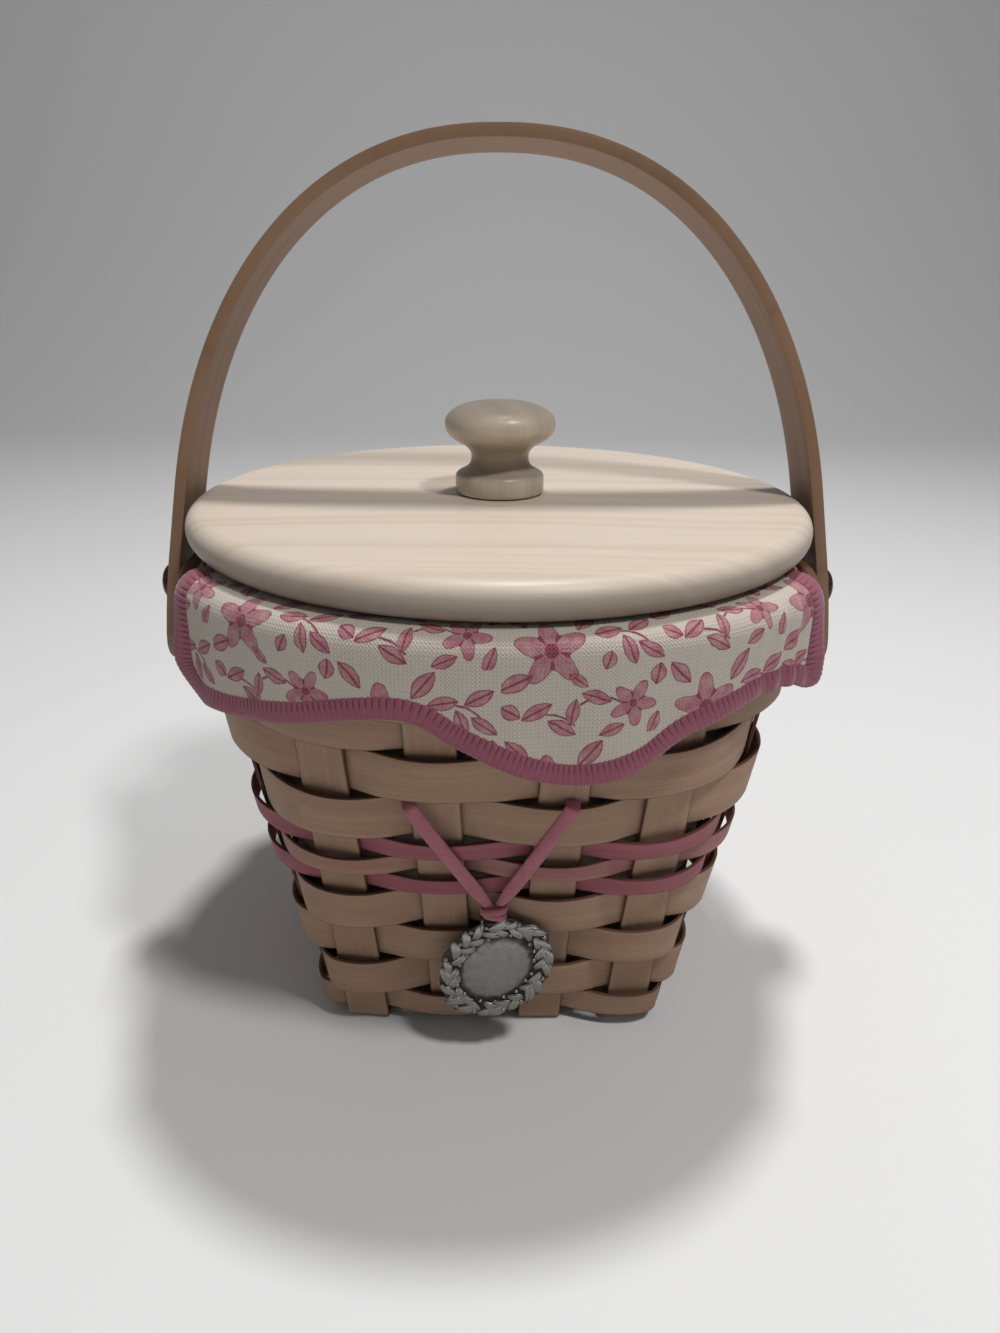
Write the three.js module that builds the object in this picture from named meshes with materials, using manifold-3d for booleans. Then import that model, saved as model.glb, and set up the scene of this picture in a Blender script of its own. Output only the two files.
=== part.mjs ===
// Lined splint basket: a woven wall on a square foot, a round rim with a swing handle, a wooden lid,
// a cloth liner turned over the rim and a charm tied to the front. Millimetres, +Z up, front towards -Y.
import * as THREE from 'three';
import { mergeVertices } from 'three/addons/utils/BufferGeometryUtils.js';
import Module from 'manifold-3d';

const wasm = await Module();
wasm.setup();

// Clearance between pieces that touch on the real basket
const CLEAR = 0.3;

// Wall: a square foot that rounds off and leans outwards up to the rim
const BASE_HALF = 51;
const RIM_HALF = 86.8;
const LEAN_AT_BASE = 0.12;
const LEAN_AT_RIM = 0.25;
const SQUARE_AT_BASE = 12;
const SQUARE_AT_RIM = 2.2;
const ROUNDING_RATE = 1.5;

// Upright splints, four to a side, each running down one wall, under the base and up the other
const STAKE_WIDTH = 12.7;
const STAKE_THICKNESS = 1;
const CORNER_MARGIN = 5.3;
const RIM_INNER_SHARE = 0.196;
const RIM_OUTER_SHARE = 0.518;
const BEND_RADIUS = 3.2;

// Weavers, from the foot up
const WEAVER_THICKNESS = 0.9;
const FIRST_ROW_HEIGHT = 4.6;
const ROW_GAP = 0.4;
const FOOT_ROW = 9.4;
const WIDE_ROW = 14.2;
const NARROW_ROW = 6.6;
const UNDER_RIM_ROW = 11.7;

// Hoops of the rim
const OUTER_HOOP_HEIGHT = 14;
const OUTER_HOOP_THICKNESS = 3;
const OUTER_HOOP_LEAN = 0.1;
const INNER_HOOP_THICKNESS = 2.6;
const INNER_HOOP_LEAN = 0.12;
const INNER_HOOP_RISE = 7.2;

// Swing handle: a bent strap whose outer line is a squared ellipse
const HANDLE_WIDTH = 20.5;
const HANDLE_THICKNESS = 3.2;
const HANDLE_ARCH = 138;
const HANDLE_SPRING_BELOW_RIM = 25.8;
const HANDLE_SQUARENESS = 2.23;
const HANDLE_TAIL = 24;
const HANDLE_EDGE = 0.8;
const HANDLE_LEAN = 3.5;
const HANDLE_SPLAY = 0.1;
const HANDLE_SPLAY_RISE = 20.2;
const HANDLE_SPLAY_BEND = 20;

// Rivets that carry the handle
const RIVET_BELOW_RIM = 10;
const RIVET_RADIUS = 2.5;
const RIVET_MARGIN = 1.5;
const RIVET_HEAD_RADIUS = 5.5;
const RIVET_HEAD_HEIGHT = 3.2;
const RIVET_PEEN_RADIUS = 3.6;
const RIVET_PEEN_HEIGHT = 0.9;
const BURR_RADIUS = 5;
const BURR_THICKNESS = 0.9;
const SPACER_RADIUS = 6;
const SPACER_THICKNESS = 2.2;

// Lid and knob
const LID_OVERHANG = 5.55;
const LID_THICKNESS = 9.7;
const KNOB_RADIUS = 15.9;
const KNOB_HEIGHT = 26;
const KNOB_BROW = 19.6;
const KNOB_NECK_RADIUS = 8.3;
const KNOB_NECK_HEIGHT = 10.2;
const KNOB_FOOT_RADIUS = 12.9;
const KNOB_FOOT_HEIGHT = 4.6;
const SCREW_RADIUS = 2;
const SCREW_HEAD_RADIUS = 4;
const SCREW_HEAD_HEIGHT = 2.4;
const SCREW_BITE = 12;

// Liner cloth, its two valances and their sewn edging
const CLOTH = 0.8;
const BAG_BASE_INSET = 3.6;
const BAG_SLACK = 1.2;
const VALANCE_REACH = 55;
const SHOULDER_SQUARENESS = 3;
const EDGING_WIDTH = 4.2;
const EDGING_THICKNESS = 1.6;
const FOLD_DEPTH = 1.5;
const FOLD_COUNT = 7;
const FLARE_DEPTH = 3.2;
const FLARE_FROM = 0.84;
const VALANCE_DROP = 27;
// Lower edge of a valance: shares of its reach from the middle, and of its longest drop below the rim
const VALANCE_EDGE = [
  [-1, 0.62], [-0.92, 0.72], [-0.82, 0.77], [-0.72, 0.74], [-0.51, 0.6], [-0.25, 0.44], [-0.1, 0.68],
  [0.14, 1], [0.35, 0.91], [0.5, 0.65], [0.72, 0.5], [0.85, 0.53], [0.94, 0.65], [1, 0.72],
];

// Lace, knot and charm on the front
const LACE_WIDTH = 4;
const LACE_THICKNESS = 1;
const LACE_SPREAD_LEFT = 22.4;
const LACE_SPREAD_RIGHT = 18.6;
const KNOT_HEIGHT = 52.9;
const KNOT_ACROSS = -1;
const KNOT_HALF_LENGTH = 3.8;
const KNOT_RADIUS = 2.1;
const RING_RADIUS = 1.9;
const RING_WIRE = 0.4;
const RING_ACROSS = -4.2;
const CHARM_WIDTH = 29.4;
const CHARM_HEIGHT = 36.5;
const CHARM_TURN = 52;
const CHARM_THICKNESS = 2;
const CHARM_BORDER = 3.4;
const CHARM_RELIEF = 0.5;
const CHARM_TILT = 16;
const CHARM_HOLE = 0.9;
const CHARM_HOLE_MARGIN = 0.9;

// Values worked out from the ones above
const HOLE_RADIUS = RIVET_RADIUS + CLEAR;
const RIM_ROW = RIVET_BELOW_RIM + HOLE_RADIUS + RIVET_MARGIN - ROW_GAP;
const ROW_HEIGHTS = [
  FOOT_ROW, WIDE_ROW, WIDE_ROW, WIDE_ROW, NARROW_ROW, NARROW_ROW, NARROW_ROW,
  WIDE_ROW, WIDE_ROW, UNDER_RIM_ROW, RIM_ROW,
];
const ROW_BOTTOMS = ROW_HEIGHTS.map((_, row) => ROW_HEIGHTS.slice(0, row)
  .reduce((sum, height) => sum + height + ROW_GAP, FIRST_ROW_HEIGHT));
const RIM_HEIGHT = ROW_BOTTOMS.at(-1) + ROW_HEIGHTS.at(-1) + ROW_GAP;
const BASE_PITCH = (BASE_HALF - CORNER_MARGIN - STAKE_WIDTH / 2) / 1.5;
const WEAVE_LIFT = STAKE_THICKNESS / 2 + CLEAR + WEAVER_THICKNESS / 2;
const WEAVE_HALF = WEAVE_LIFT + WEAVER_THICKNESS / 2;
const RIVET_HEIGHT = RIM_HEIGHT - RIVET_BELOW_RIM;
const BASE_TOP = 2 * STAKE_THICKNESS + CLEAR;
const SEAT_HEIGHT = RIM_HEIGHT + INNER_HOOP_RISE;
const LID_BOTTOM = SEAT_HEIGHT + CLOTH + 2 * CLEAR;
const LID_TOP = LID_BOTTOM + LID_THICKNESS;

// Colours seen on the basket
const ASH = { color: 0x9c8069, roughness: 0.62 };
const ROSE_ASH = { color: 0x9a4f5c, roughness: 0.6 };
const BLUSH_ASH = { color: 0xa68474, roughness: 0.62 };
const BENT_WOOD = { color: 0x8a5f3c, roughness: 0.55 };
const LID_WOOD = { color: 0xe3d3c2, roughness: 0.45 };
const LINEN = { color: 0xd8cbb8, roughness: 0.9 };
const ROSE_THREAD = { color: 0xb26478, roughness: 0.75 };
const BRONZE = { color: 0x3a231a, roughness: 0.4, metalness: 0.8 };
const PEWTER = { color: 0x8f8d8a, roughness: 0.42, metalness: 0.9 };
const STEEL = { color: 0xb0b2b5, roughness: 0.35, metalness: 0.9 };

const basket = new THREE.Group();

function addPiece(name, geometry, finish) {
  const piece = new THREE.Mesh(geometry, new THREE.MeshStandardMaterial(finish));
  piece.name = name;
  basket.add(piece);
  return piece;
}

const mix = THREE.MathUtils.lerp;
const radians = THREE.MathUtils.degToRad;

// Signed volume of an indexed geometry, used to turn faces outwards
function signedVolume(geometry) {
  const at = geometry.attributes.position;
  const index = geometry.index.array;
  const corner = [new THREE.Vector3(), new THREE.Vector3(), new THREE.Vector3()];
  let sum = 0;
  for (let i = 0; i < index.length; i += 3) {
    corner.forEach((vertex, j) => vertex.fromBufferAttribute(at, index[i + j]));
    sum += corner[0].dot(corner[1].cross(corner[2])) / 6;
  }
  return sum;
}

// Closed geometry of points and triangles with its faces outwards
function closedGeometry(points, triangles) {
  const geometry = new THREE.BufferGeometry().setFromPoints(points);
  geometry.setIndex(triangles.flat());
  if (signedVolume(geometry) < 0) {
    geometry.setIndex(triangles.flatMap(([a, b, c]) => [a, c, b]));
  }
  geometry.computeVertexNormals();
  return geometry;
}

// Solid through equal loops of points: a ring when joined end to end, otherwise with flat ends
function loft(loops, isRing) {
  const count = loops[0].length;
  const triangles = [];
  const spans = isRing ? loops.length : loops.length - 1;
  for (let i = 0; i < spans; i += 1) {
    const here = i * count;
    const next = ((i + 1) % loops.length) * count;
    for (let j = 0; j < count; j += 1) {
      const k = (j + 1) % count;
      triangles.push([here + j, here + k, next + k], [here + j, next + k, next + j]);
    }
  }
  if (!isRing) {
    const last = (loops.length - 1) * count;
    for (let j = 0; 2 * j < count - 2; j += 1) {
      const k = count - 1 - j;
      triangles.push([j, k, j + 1], [last + j, last + j + 1, last + k]);
      if (j + 1 < k - 1) triangles.push([j + 1, k, k - 1], [last + j + 1, last + k - 1, last + k]);
    }
  }
  return closedGeometry(loops.flat(), triangles);
}

// Solid turned about the Z axis from an outline of radius and height
function turned(outline, segments) {
  const lathe = mergedShape(new THREE.LatheGeometry(outline, segments).rotateX(Math.PI / 2));
  const index = Array.from(lathe.index.array);
  const triangles = [];
  for (let i = 0; i < index.length; i += 3) {
    const [a, b, c] = index.slice(i, i + 3);
    if (a !== b && b !== c && c !== a) triangles.push([a, b, c]);
  }
  const at = lathe.attributes.position;
  const points = Array.from({ length: at.count }, (_, i) => new THREE.Vector3().fromBufferAttribute(at, i));
  return closedGeometry(points, triangles);
}

// Geometry with only positions, its shared vertices merged
function mergedShape(geometry) {
  const bare = geometry.clone();
  bare.deleteAttribute('normal');
  bare.deleteAttribute('uv');
  return mergeVertices(bare, 1e-4);
}

function solidOf(geometry) {
  const shape = mergedShape(geometry);
  const mesh = new wasm.Mesh({
    numProp: 3,
    vertProperties: new Float32Array(shape.attributes.position.array),
    triVerts: new Uint32Array(shape.index.array),
  });
  return new wasm.Manifold(mesh);
}

function geometryOf(solid) {
  const mesh = solid.getMesh();
  const geometry = new THREE.BufferGeometry();
  geometry.setAttribute('position', new THREE.BufferAttribute(new Float32Array(mesh.vertProperties), 3));
  geometry.setIndex(new THREE.BufferAttribute(new Uint32Array(mesh.triVerts), 1));
  geometry.computeVertexNormals();
  return geometry;
}

// Half width of the wall's middle surface at a height, by a cubic with the two leans
function wallHalf(height) {
  const t = height / RIM_HEIGHT;
  if (t >= 1) return RIM_HALF + LEAN_AT_RIM * (height - RIM_HEIGHT);
  const rise = 3 * t * t - 2 * t ** 3;
  const start = (t ** 3 - 2 * t * t + t) * LEAN_AT_BASE * RIM_HEIGHT;
  const end = (t ** 3 - t * t) * LEAN_AT_RIM * RIM_HEIGHT;
  return mix(BASE_HALF, RIM_HALF, rise) + start + end;
}

// Exponent of the wall's squared-circle section at a height, round from the middle of the outer hoop up
function squareness(height) {
  const t = Math.min(Math.max(height / RIVET_HEIGHT, 0), 1);
  return 1 / mix(1 / SQUARE_AT_BASE, 1 / SQUARE_AT_RIM, t ** ROUNDING_RATE);
}

// Point and outward normal of a squared circle in the direction of an angle
function sectionAt(angle, half, power) {
  const cos = Math.cos(angle);
  const sin = Math.sin(angle);
  const radius = half / (Math.abs(cos) ** power + Math.abs(sin) ** power) ** (1 / power);
  const point = new THREE.Vector2(radius * cos, radius * sin);
  const normal = new THREE.Vector2(
    Math.sign(cos) * Math.abs(point.x / half) ** (power - 1),
    Math.sign(sin) * Math.abs(point.y / half) ** (power - 1),
  ).normalize();
  return { point, normal };
}

// The same at a distance along one side: side 0 is the front, then right, back and left
function sidePoint(side, across, half, power) {
  const away = half * (1 - Math.min(Math.abs(across / half), 1) ** power) ** (1 / power);
  const angle = Math.atan2(-away, across) + side * Math.PI / 2;
  return sectionAt(angle, half, power);
}

// Distance of a stake's middle from the middle of its side
function stakeOffset(stake, height) {
  const t = height / RIM_HEIGHT;
  const sign = stake < 2 ? -1 : 1;
  const isOuter = stake === 0 || stake === 3;
  const foot = (isOuter ? 1.5 : 0.5) * BASE_PITCH;
  return sign * mix(foot, RIM_HALF * (isOuter ? RIM_OUTER_SHARE : RIM_INNER_SHARE), t);
}

// Middle line of a weaver at a height, with how far it is lifted in front of or behind the stakes
function weaverLine(height, parity) {
  const cornerSteps = 5;
  const half = wallHalf(height);
  const power = squareness(height);
  const line = [];
  for (let side = 0; side < 4; side += 1) {
    for (let stake = 0; stake < 4; stake += 1) {
      const lift = (side * 4 + stake) % 2 === parity ? 1 : -1;
      const middle = stakeOffset(stake, height);
      const near = sidePoint(side, middle - STAKE_WIDTH / 2, half, power);
      const far = sidePoint(side, middle + STAKE_WIDTH / 2, half, power);
      line.push({ ...near, lift }, { ...far, lift });
      if (stake < 3) continue;
      const next = sidePoint(side + 1, stakeOffset(0, height) - STAKE_WIDTH / 2, half, power);
      const from = Math.atan2(far.point.y, far.point.x);
      const turn = (Math.atan2(next.point.y, next.point.x) - from + 2 * Math.PI) % (2 * Math.PI);
      for (let step = 1; step < cornerSteps; step += 1) {
        const t = step / cornerSteps;
        line.push({ ...sectionAt(from + t * turn, half, power), lift: lift * (1 - 2 * t) });
      }
    }
  }
  return line;
}

function weaver(bottom, height, parity) {
  const top = weaverLine(bottom + height, parity);
  const low = weaverLine(bottom, parity);
  const place = ({ point, normal, lift }, shift, z) => {
    const out = lift * WEAVE_LIFT + shift;
    return new THREE.Vector3(point.x + normal.x * out, point.y + normal.y * out, z);
  };
  const skin = WEAVER_THICKNESS / 2;
  const loops = low.map((spot, i) => [
    place(spot, skin, bottom),
    place(top[i], skin, bottom + height),
    place(top[i], -skin, bottom + height),
    place(spot, -skin, bottom),
  ]);
  return loft(loops, true);
}

// Loop of a stake on the front wall at a height
function stakeOnWall(stake, height, isBack) {
  const half = wallHalf(height);
  const power = squareness(height);
  const middle = stakeOffset(stake, height);
  const flip = isBack ? -1 : 1;
  const edges = [-1, 1].map((side) => sidePoint(0, middle + side * STAKE_WIDTH / 2, half, power).point);
  const { normal } = sidePoint(0, middle, half, power);
  const at = (edge, out) => new THREE.Vector3(
    edge.x + normal.x * out,
    flip * (edge.y + normal.y * out),
    height,
  );
  const skin = STAKE_THICKNESS / 2;
  return [at(edges[0], skin), at(edges[1], skin), at(edges[1], -skin), at(edges[0], -skin)];
}

// Loop of a stake at a quarter bend between wall and base, by the angle turned from the wall
function stakeInBend(stake, level, angle, isBack) {
  const height = level + BEND_RADIUS;
  const flip = isBack ? -1 : 1;
  const half = wallHalf(height);
  const power = squareness(height);
  const middle = stakeOffset(stake, 0);
  const at = (side, out) => {
    const edge = sidePoint(0, middle + side * STAKE_WIDTH / 2, half, power).point;
    const reach = BEND_RADIUS + out;
    const y = edge.y + BEND_RADIUS - reach * Math.cos(angle);
    return new THREE.Vector3(middle + side * STAKE_WIDTH / 2, flip * y, height - reach * Math.sin(angle));
  };
  const skin = STAKE_THICKNESS / 2;
  return [at(-1, skin), at(1, skin), at(1, -skin), at(-1, -skin)];
}

// Stake of the front and back walls; levelAt gives 0 or 1 for under or over at each base crossing
function frontStake(stake, levelAt) {
  const step = STAKE_THICKNESS + CLEAR;
  const levels = [0, 1, 2, 3].map((crossing) => STAKE_THICKNESS / 2 + levelAt(crossing) * step);
  const bendAngles = [0, 30, 60, 90];
  const wallHeights = [...ROW_BOTTOMS, RIM_HEIGHT];
  const loops = [...wallHeights].reverse().map((height) => stakeOnWall(stake, height, false));
  bendAngles.forEach((angle) => loops.push(stakeInBend(stake, levels[0], radians(angle), false)));
  const middle = stakeOffset(stake, 0);
  const skin = STAKE_THICKNESS / 2;
  const grip = STAKE_WIDTH / 2 + 2 * CLEAR;
  levels.forEach((level, crossing) => {
    const y = (crossing - 1.5) * BASE_PITCH;
    [y - grip, y + grip].forEach((at) => {
      const left = middle - STAKE_WIDTH / 2;
      const right = middle + STAKE_WIDTH / 2;
      loops.push([
        new THREE.Vector3(left, at, level - skin),
        new THREE.Vector3(right, at, level - skin),
        new THREE.Vector3(right, at, level + skin),
        new THREE.Vector3(left, at, level + skin),
      ]);
    });
  });
  bendAngles.reverse().forEach((angle) => loops.push(stakeInBend(stake, levels[3], radians(angle), true)));
  loops.push(...wallHeights.map((height) => stakeOnWall(stake, height, true)));
  return loft(loops, false);
}

function addStakes() {
  for (let stake = 0; stake < 4; stake += 1) {
    const number = stake + 1;
    const along = frontStake(stake, (crossing) => (stake + crossing) % 2);
    addPiece(`upright_front_back_${number}`, along, ASH);
    const across = frontStake(stake, (crossing) => (stake + crossing) % 2).rotateZ(Math.PI / 2);
    addPiece(`upright_left_right_${number}`, across, ASH);
  }
}

// Drill through both rivet places, along X
function rivetDrill() {
  const reach = 3 * RIM_HALF;
  const rod = new THREE.CylinderGeometry(HOLE_RADIUS, HOLE_RADIUS, reach, 20).rotateZ(Math.PI / 2);
  return solidOf(rod.translate(0, 0, RIVET_HEIGHT));
}

function drilled(geometry, drill) {
  return geometryOf(solidOf(geometry).subtract(drill));
}

const ROW_NAMES = [
  'weaver_foot', 'weaver_lower_1', 'weaver_lower_2', 'weaver_lower_3', 'weaver_rose_1', 'weaver_blush',
  'weaver_rose_2', 'weaver_upper_1', 'weaver_upper_2', 'weaver_under_rim', 'weaver_rim',
];
const ROW_FINISHES = { weaver_rose_1: ROSE_ASH, weaver_rose_2: ROSE_ASH, weaver_blush: BLUSH_ASH };

function addWeavers(drill) {
  ROW_NAMES.forEach((name, row) => {
    const bottom = ROW_BOTTOMS[row];
    const shape = weaver(bottom, ROW_HEIGHTS[row], (row + 1) % 2);
    const isBelow = bottom + ROW_HEIGHTS[row] < RIVET_HEIGHT - HOLE_RADIUS;
    addPiece(name, isBelow ? shape : drilled(shape, drill), ROW_FINISHES[name] ?? ASH);
  });
}

// Half width of a hoop's outer face at a height
function outerHoopHalf(height) {
  const atRim = RIM_HALF + WEAVE_HALF + CLEAR + OUTER_HOOP_THICKNESS;
  return atRim - OUTER_HOOP_LEAN * (RIM_HEIGHT - height);
}

const INNER_HOOP_FOOT = RIVET_HEIGHT - HOLE_RADIUS - RIVET_MARGIN;

function innerHoopHalf(height) {
  const atFoot = wallHalf(INNER_HOOP_FOOT) - WEAVE_HALF - CLEAR;
  return atFoot + INNER_HOOP_LEAN * (height - INNER_HOOP_FOOT);
}

// Leaning hoop of the rim's outline between two heights
function hoop(halfAt, thickness, foot, top) {
  const steps = 64;
  const loops = [];
  for (let i = 0; i < steps; i += 1) {
    const angle = (i / steps) * 2 * Math.PI;
    const at = (height, inset) => {
      const { point } = sectionAt(angle, halfAt(height) - inset, SQUARE_AT_RIM);
      return new THREE.Vector3(point.x, point.y, height);
    };
    loops.push([at(foot, 0), at(top, 0), at(top, thickness), at(foot, thickness)]);
  }
  return loft(loops, true);
}

function addHoops(drill) {
  const outer = hoop(outerHoopHalf, OUTER_HOOP_THICKNESS, RIM_HEIGHT - OUTER_HOOP_HEIGHT, RIM_HEIGHT);
  addPiece('rim_hoop_outer', drilled(outer, drill), ASH);
  const inner = hoop(innerHoopHalf, INNER_HOOP_THICKNESS, INNER_HOOP_FOOT, SEAT_HEIGHT);
  addPiece('rim_hoop_inner', drilled(inner, drill), ASH);
}

const HANDLE_SPRING = RIM_HEIGHT - HANDLE_SPRING_BELOW_RIM;

// Share of the handle's half span that its outer line has at a height
function handleShare(height) {
  const t = Math.max(height - HANDLE_SPRING, 0) / HANDLE_ARCH;
  return (1 - t ** HANDLE_SQUARENESS) ** (1 / HANDLE_SQUARENESS);
}

// How far the legs of the handle have spread outwards at a height, on their way down to their ends
function handleSplay(height) {
  const down = Math.max(RIM_HEIGHT + HANDLE_SPLAY_RISE - height, 0);
  const bent = Math.min(down, HANDLE_SPLAY_BEND);
  return HANDLE_SPLAY * (bent * bent / (2 * HANDLE_SPLAY_BEND) + down - bent);
}

// The strap lies on its spacers, which lie on the outer hoop
const SPACER_IN = outerHoopHalf(RIVET_HEIGHT + SPACER_RADIUS) + CLEAR;
const SPACER_OUT = SPACER_IN + SPACER_THICKNESS;
const SPACER_TOP = RIVET_HEIGHT + SPACER_RADIUS;
const STRAP_OUT_AT_SPACER = SPACER_OUT + CLEAR + HANDLE_THICKNESS;
const HANDLE_HALF_SPAN = (STRAP_OUT_AT_SPACER - handleSplay(SPACER_TOP)) / handleShare(SPACER_TOP);

// Middle line of the strap from the left tail over the arch to the right tail
function handleLine() {
  const steps = 28;
  const spanHalf = HANDLE_HALF_SPAN - HANDLE_THICKNESS / 2;
  const arch = HANDLE_ARCH - HANDLE_THICKNESS / 2;
  const power = 2 / HANDLE_SQUARENESS;
  const left = [];
  for (let i = 0; i <= steps / 2; i += 1) {
    const angle = (i / steps) * Math.PI;
    const height = HANDLE_SPRING + arch * Math.sin(angle) ** power;
    const x = -spanHalf * Math.cos(angle) ** power - handleSplay(height);
    left.push(new THREE.Vector2(i === steps / 2 ? 0 : x, height));
  }
  const tail = RIVET_HEIGHT - HANDLE_TAIL;
  const rounding = [0.3, 2.2, 5.2, HANDLE_WIDTH / 2].map((up) => tail + up);
  const half = rounding.map((height) => new THREE.Vector2(-spanHalf - handleSplay(height), height));
  half.push(...left.filter((spot) => spot.y > tail + HANDLE_WIDTH / 2 + 1));
  const mirrored = half.slice(0, -1).reverse().map((spot) => new THREE.Vector2(-spot.x, spot.y));
  return [...half, ...mirrored];
}

function handle() {
  const line = handleLine();
  const tail = RIVET_HEIGHT - HANDLE_TAIL;
  const loops = line.map((spot, i) => {
    const before = line[Math.max(i - 1, 0)];
    const after = line[Math.min(i + 1, line.length - 1)];
    const along = after.clone().sub(before).normalize();
    const out = new THREE.Vector2(-along.y, along.x);
    const short = Math.max(HANDLE_WIDTH / 2 - (spot.y - tail), 0);
    const wide = Math.sqrt((HANDLE_WIDTH / 2) ** 2 - short ** 2);
    const thick = HANDLE_THICKNESS / 2;
    const edge = Math.min(HANDLE_EDGE, wide / 2);
    const corners = [
      [-wide, -thick + edge], [-wide + edge, -thick], [wide - edge, -thick], [wide, -thick + edge],
      [wide, thick - edge], [wide - edge, thick], [-wide + edge, thick], [-wide, thick - edge],
    ];
    return corners.map(([y, lift]) => new THREE.Vector3(spot.x + out.x * lift, y, spot.y + out.y * lift));
  });
  return loft(loops, false);
}

// The handle leans back a little about its rivets
function leaning(geometry) {
  return geometry
    .translate(0, 0, -RIVET_HEIGHT)
    .rotateX(radians(-HANDLE_LEAN))
    .translate(0, 0, RIVET_HEIGHT);
}

// How the rivet hardware stacks up inside the inner hoop
const BURR_OUT = innerHoopHalf(RIVET_HEIGHT - BURR_RADIUS) - INNER_HOOP_THICKNESS - CLEAR;
const BURR_IN = BURR_OUT - BURR_THICKNESS;
const RIVET_INNER_END = BURR_IN - CLEAR - RIVET_PEEN_HEIGHT;
const BAG_PINCH_FOOT = RIVET_HEIGHT - BURR_RADIUS;
const BAG_PINCH_TOP = RIVET_HEIGHT + BURR_RADIUS;

// Turned hardware of one rivet place, measured outwards from the basket's axis
function addRivet(side, name) {
  const place = (geometry) => geometry.rotateY(side * Math.PI / 2).translate(0, 0, RIVET_HEIGHT);
  const ring = (inner, outer, from, to) => turned([
    new THREE.Vector2(inner, from), new THREE.Vector2(outer, from),
    new THREE.Vector2(outer, to), new THREE.Vector2(inner, to), new THREE.Vector2(inner, from),
  ], 20);
  const headFoot = RIVET_HEIGHT - RIVET_HEAD_RADIUS;
  const strapOut = HANDLE_HALF_SPAN * handleShare(headFoot) + handleSplay(headFoot);

  const outline = new THREE.Path();
  const peenOut = BURR_IN - CLEAR;
  const headIn = strapOut + CLEAR;
  outline.moveTo(0, RIVET_INNER_END);
  outline.lineTo(RIVET_PEEN_RADIUS, peenOut - RIVET_PEEN_HEIGHT / 2);
  outline.lineTo(RIVET_PEEN_RADIUS, peenOut);
  outline.lineTo(RIVET_RADIUS, peenOut);
  outline.lineTo(RIVET_RADIUS, headIn);
  outline.lineTo(RIVET_HEAD_RADIUS, headIn);
  const dome = headIn + RIVET_HEAD_HEIGHT;
  outline.bezierCurveTo(RIVET_HEAD_RADIUS, mix(headIn, dome, 0.6), RIVET_HEAD_RADIUS / 2, dome, 0, dome);
  addPiece(`rivet_${name}`, place(turned(outline.getPoints(5), 20)), BRONZE);
  addPiece(`rivet_burr_${name}`, place(ring(HOLE_RADIUS, BURR_RADIUS, BURR_IN, BURR_OUT)), BRONZE);
  addPiece(`pivot_spacer_${name}`, place(ring(HOLE_RADIUS, SPACER_RADIUS, SPACER_IN, SPACER_OUT)), BENT_WOOD);
}

// Round lid with a full bullnose and a counterbored hole for the knob's screw
function lid() {
  const rim = innerHoopHalf(SEAT_HEIGHT) + LID_OVERHANG;
  const hole = SCREW_RADIUS + CLEAR;
  const bore = SCREW_HEAD_RADIUS + CLEAR;
  const boreDepth = SCREW_HEAD_HEIGHT + CLEAR;
  const nose = LID_THICKNESS / 2;
  const outline = new THREE.Path();
  outline.moveTo(bore, LID_BOTTOM);
  outline.lineTo(rim - nose, LID_BOTTOM);
  outline.absarc(rim - nose, LID_BOTTOM + nose, nose, -Math.PI / 2, Math.PI / 2, false);
  outline.lineTo(hole, LID_TOP);
  outline.lineTo(hole, LID_BOTTOM + boreDepth);
  outline.lineTo(bore, LID_BOTTOM + boreDepth);
  outline.lineTo(bore, LID_BOTTOM);
  return turned(outline.getPoints(4), 56);
}

// Mushroom knob with a blind hole for its screw
function knob() {
  const foot = LID_TOP + CLEAR;
  const hole = SCREW_RADIUS + CLEAR;
  const at = (height) => foot + height;
  const outline = new THREE.Path();
  outline.moveTo(0, at(KNOB_HEIGHT));
  const between = (low, high, share) => at(mix(low, high, share));
  outline.bezierCurveTo(
    KNOB_RADIUS * 0.7, at(KNOB_HEIGHT),
    KNOB_RADIUS, between(KNOB_BROW, KNOB_HEIGHT, 0.55),
    KNOB_RADIUS, at(KNOB_BROW),
  );
  outline.bezierCurveTo(
    KNOB_RADIUS, between(KNOB_BROW, KNOB_NECK_HEIGHT, 0.6),
    KNOB_NECK_RADIUS, between(KNOB_NECK_HEIGHT, KNOB_BROW, 0.5),
    KNOB_NECK_RADIUS, at(KNOB_NECK_HEIGHT),
  );
  outline.bezierCurveTo(
    KNOB_NECK_RADIUS, between(KNOB_NECK_HEIGHT, KNOB_FOOT_HEIGHT, 0.75),
    KNOB_FOOT_RADIUS, between(KNOB_FOOT_HEIGHT, KNOB_NECK_HEIGHT, 0.4),
    KNOB_FOOT_RADIUS, at(KNOB_FOOT_HEIGHT),
  );
  outline.lineTo(KNOB_FOOT_RADIUS, at(0));
  outline.lineTo(hole, at(0));
  outline.lineTo(hole, at(SCREW_BITE + CLEAR));
  outline.lineTo(0, at(SCREW_BITE + CLEAR));
  return turned(outline.getPoints(5), 28);
}

function knobScrew() {
  const head = LID_BOTTOM;
  const tip = LID_TOP + CLEAR + SCREW_BITE;
  return turned([
    new THREE.Vector2(0, head),
    new THREE.Vector2(SCREW_HEAD_RADIUS, head),
    new THREE.Vector2(SCREW_HEAD_RADIUS, head + SCREW_HEAD_HEIGHT),
    new THREE.Vector2(SCREW_RADIUS, head + SCREW_HEAD_HEIGHT),
    new THREE.Vector2(SCREW_RADIUS, tip - SCREW_RADIUS),
    new THREE.Vector2(0, tip),
  ], 16);
}

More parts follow.
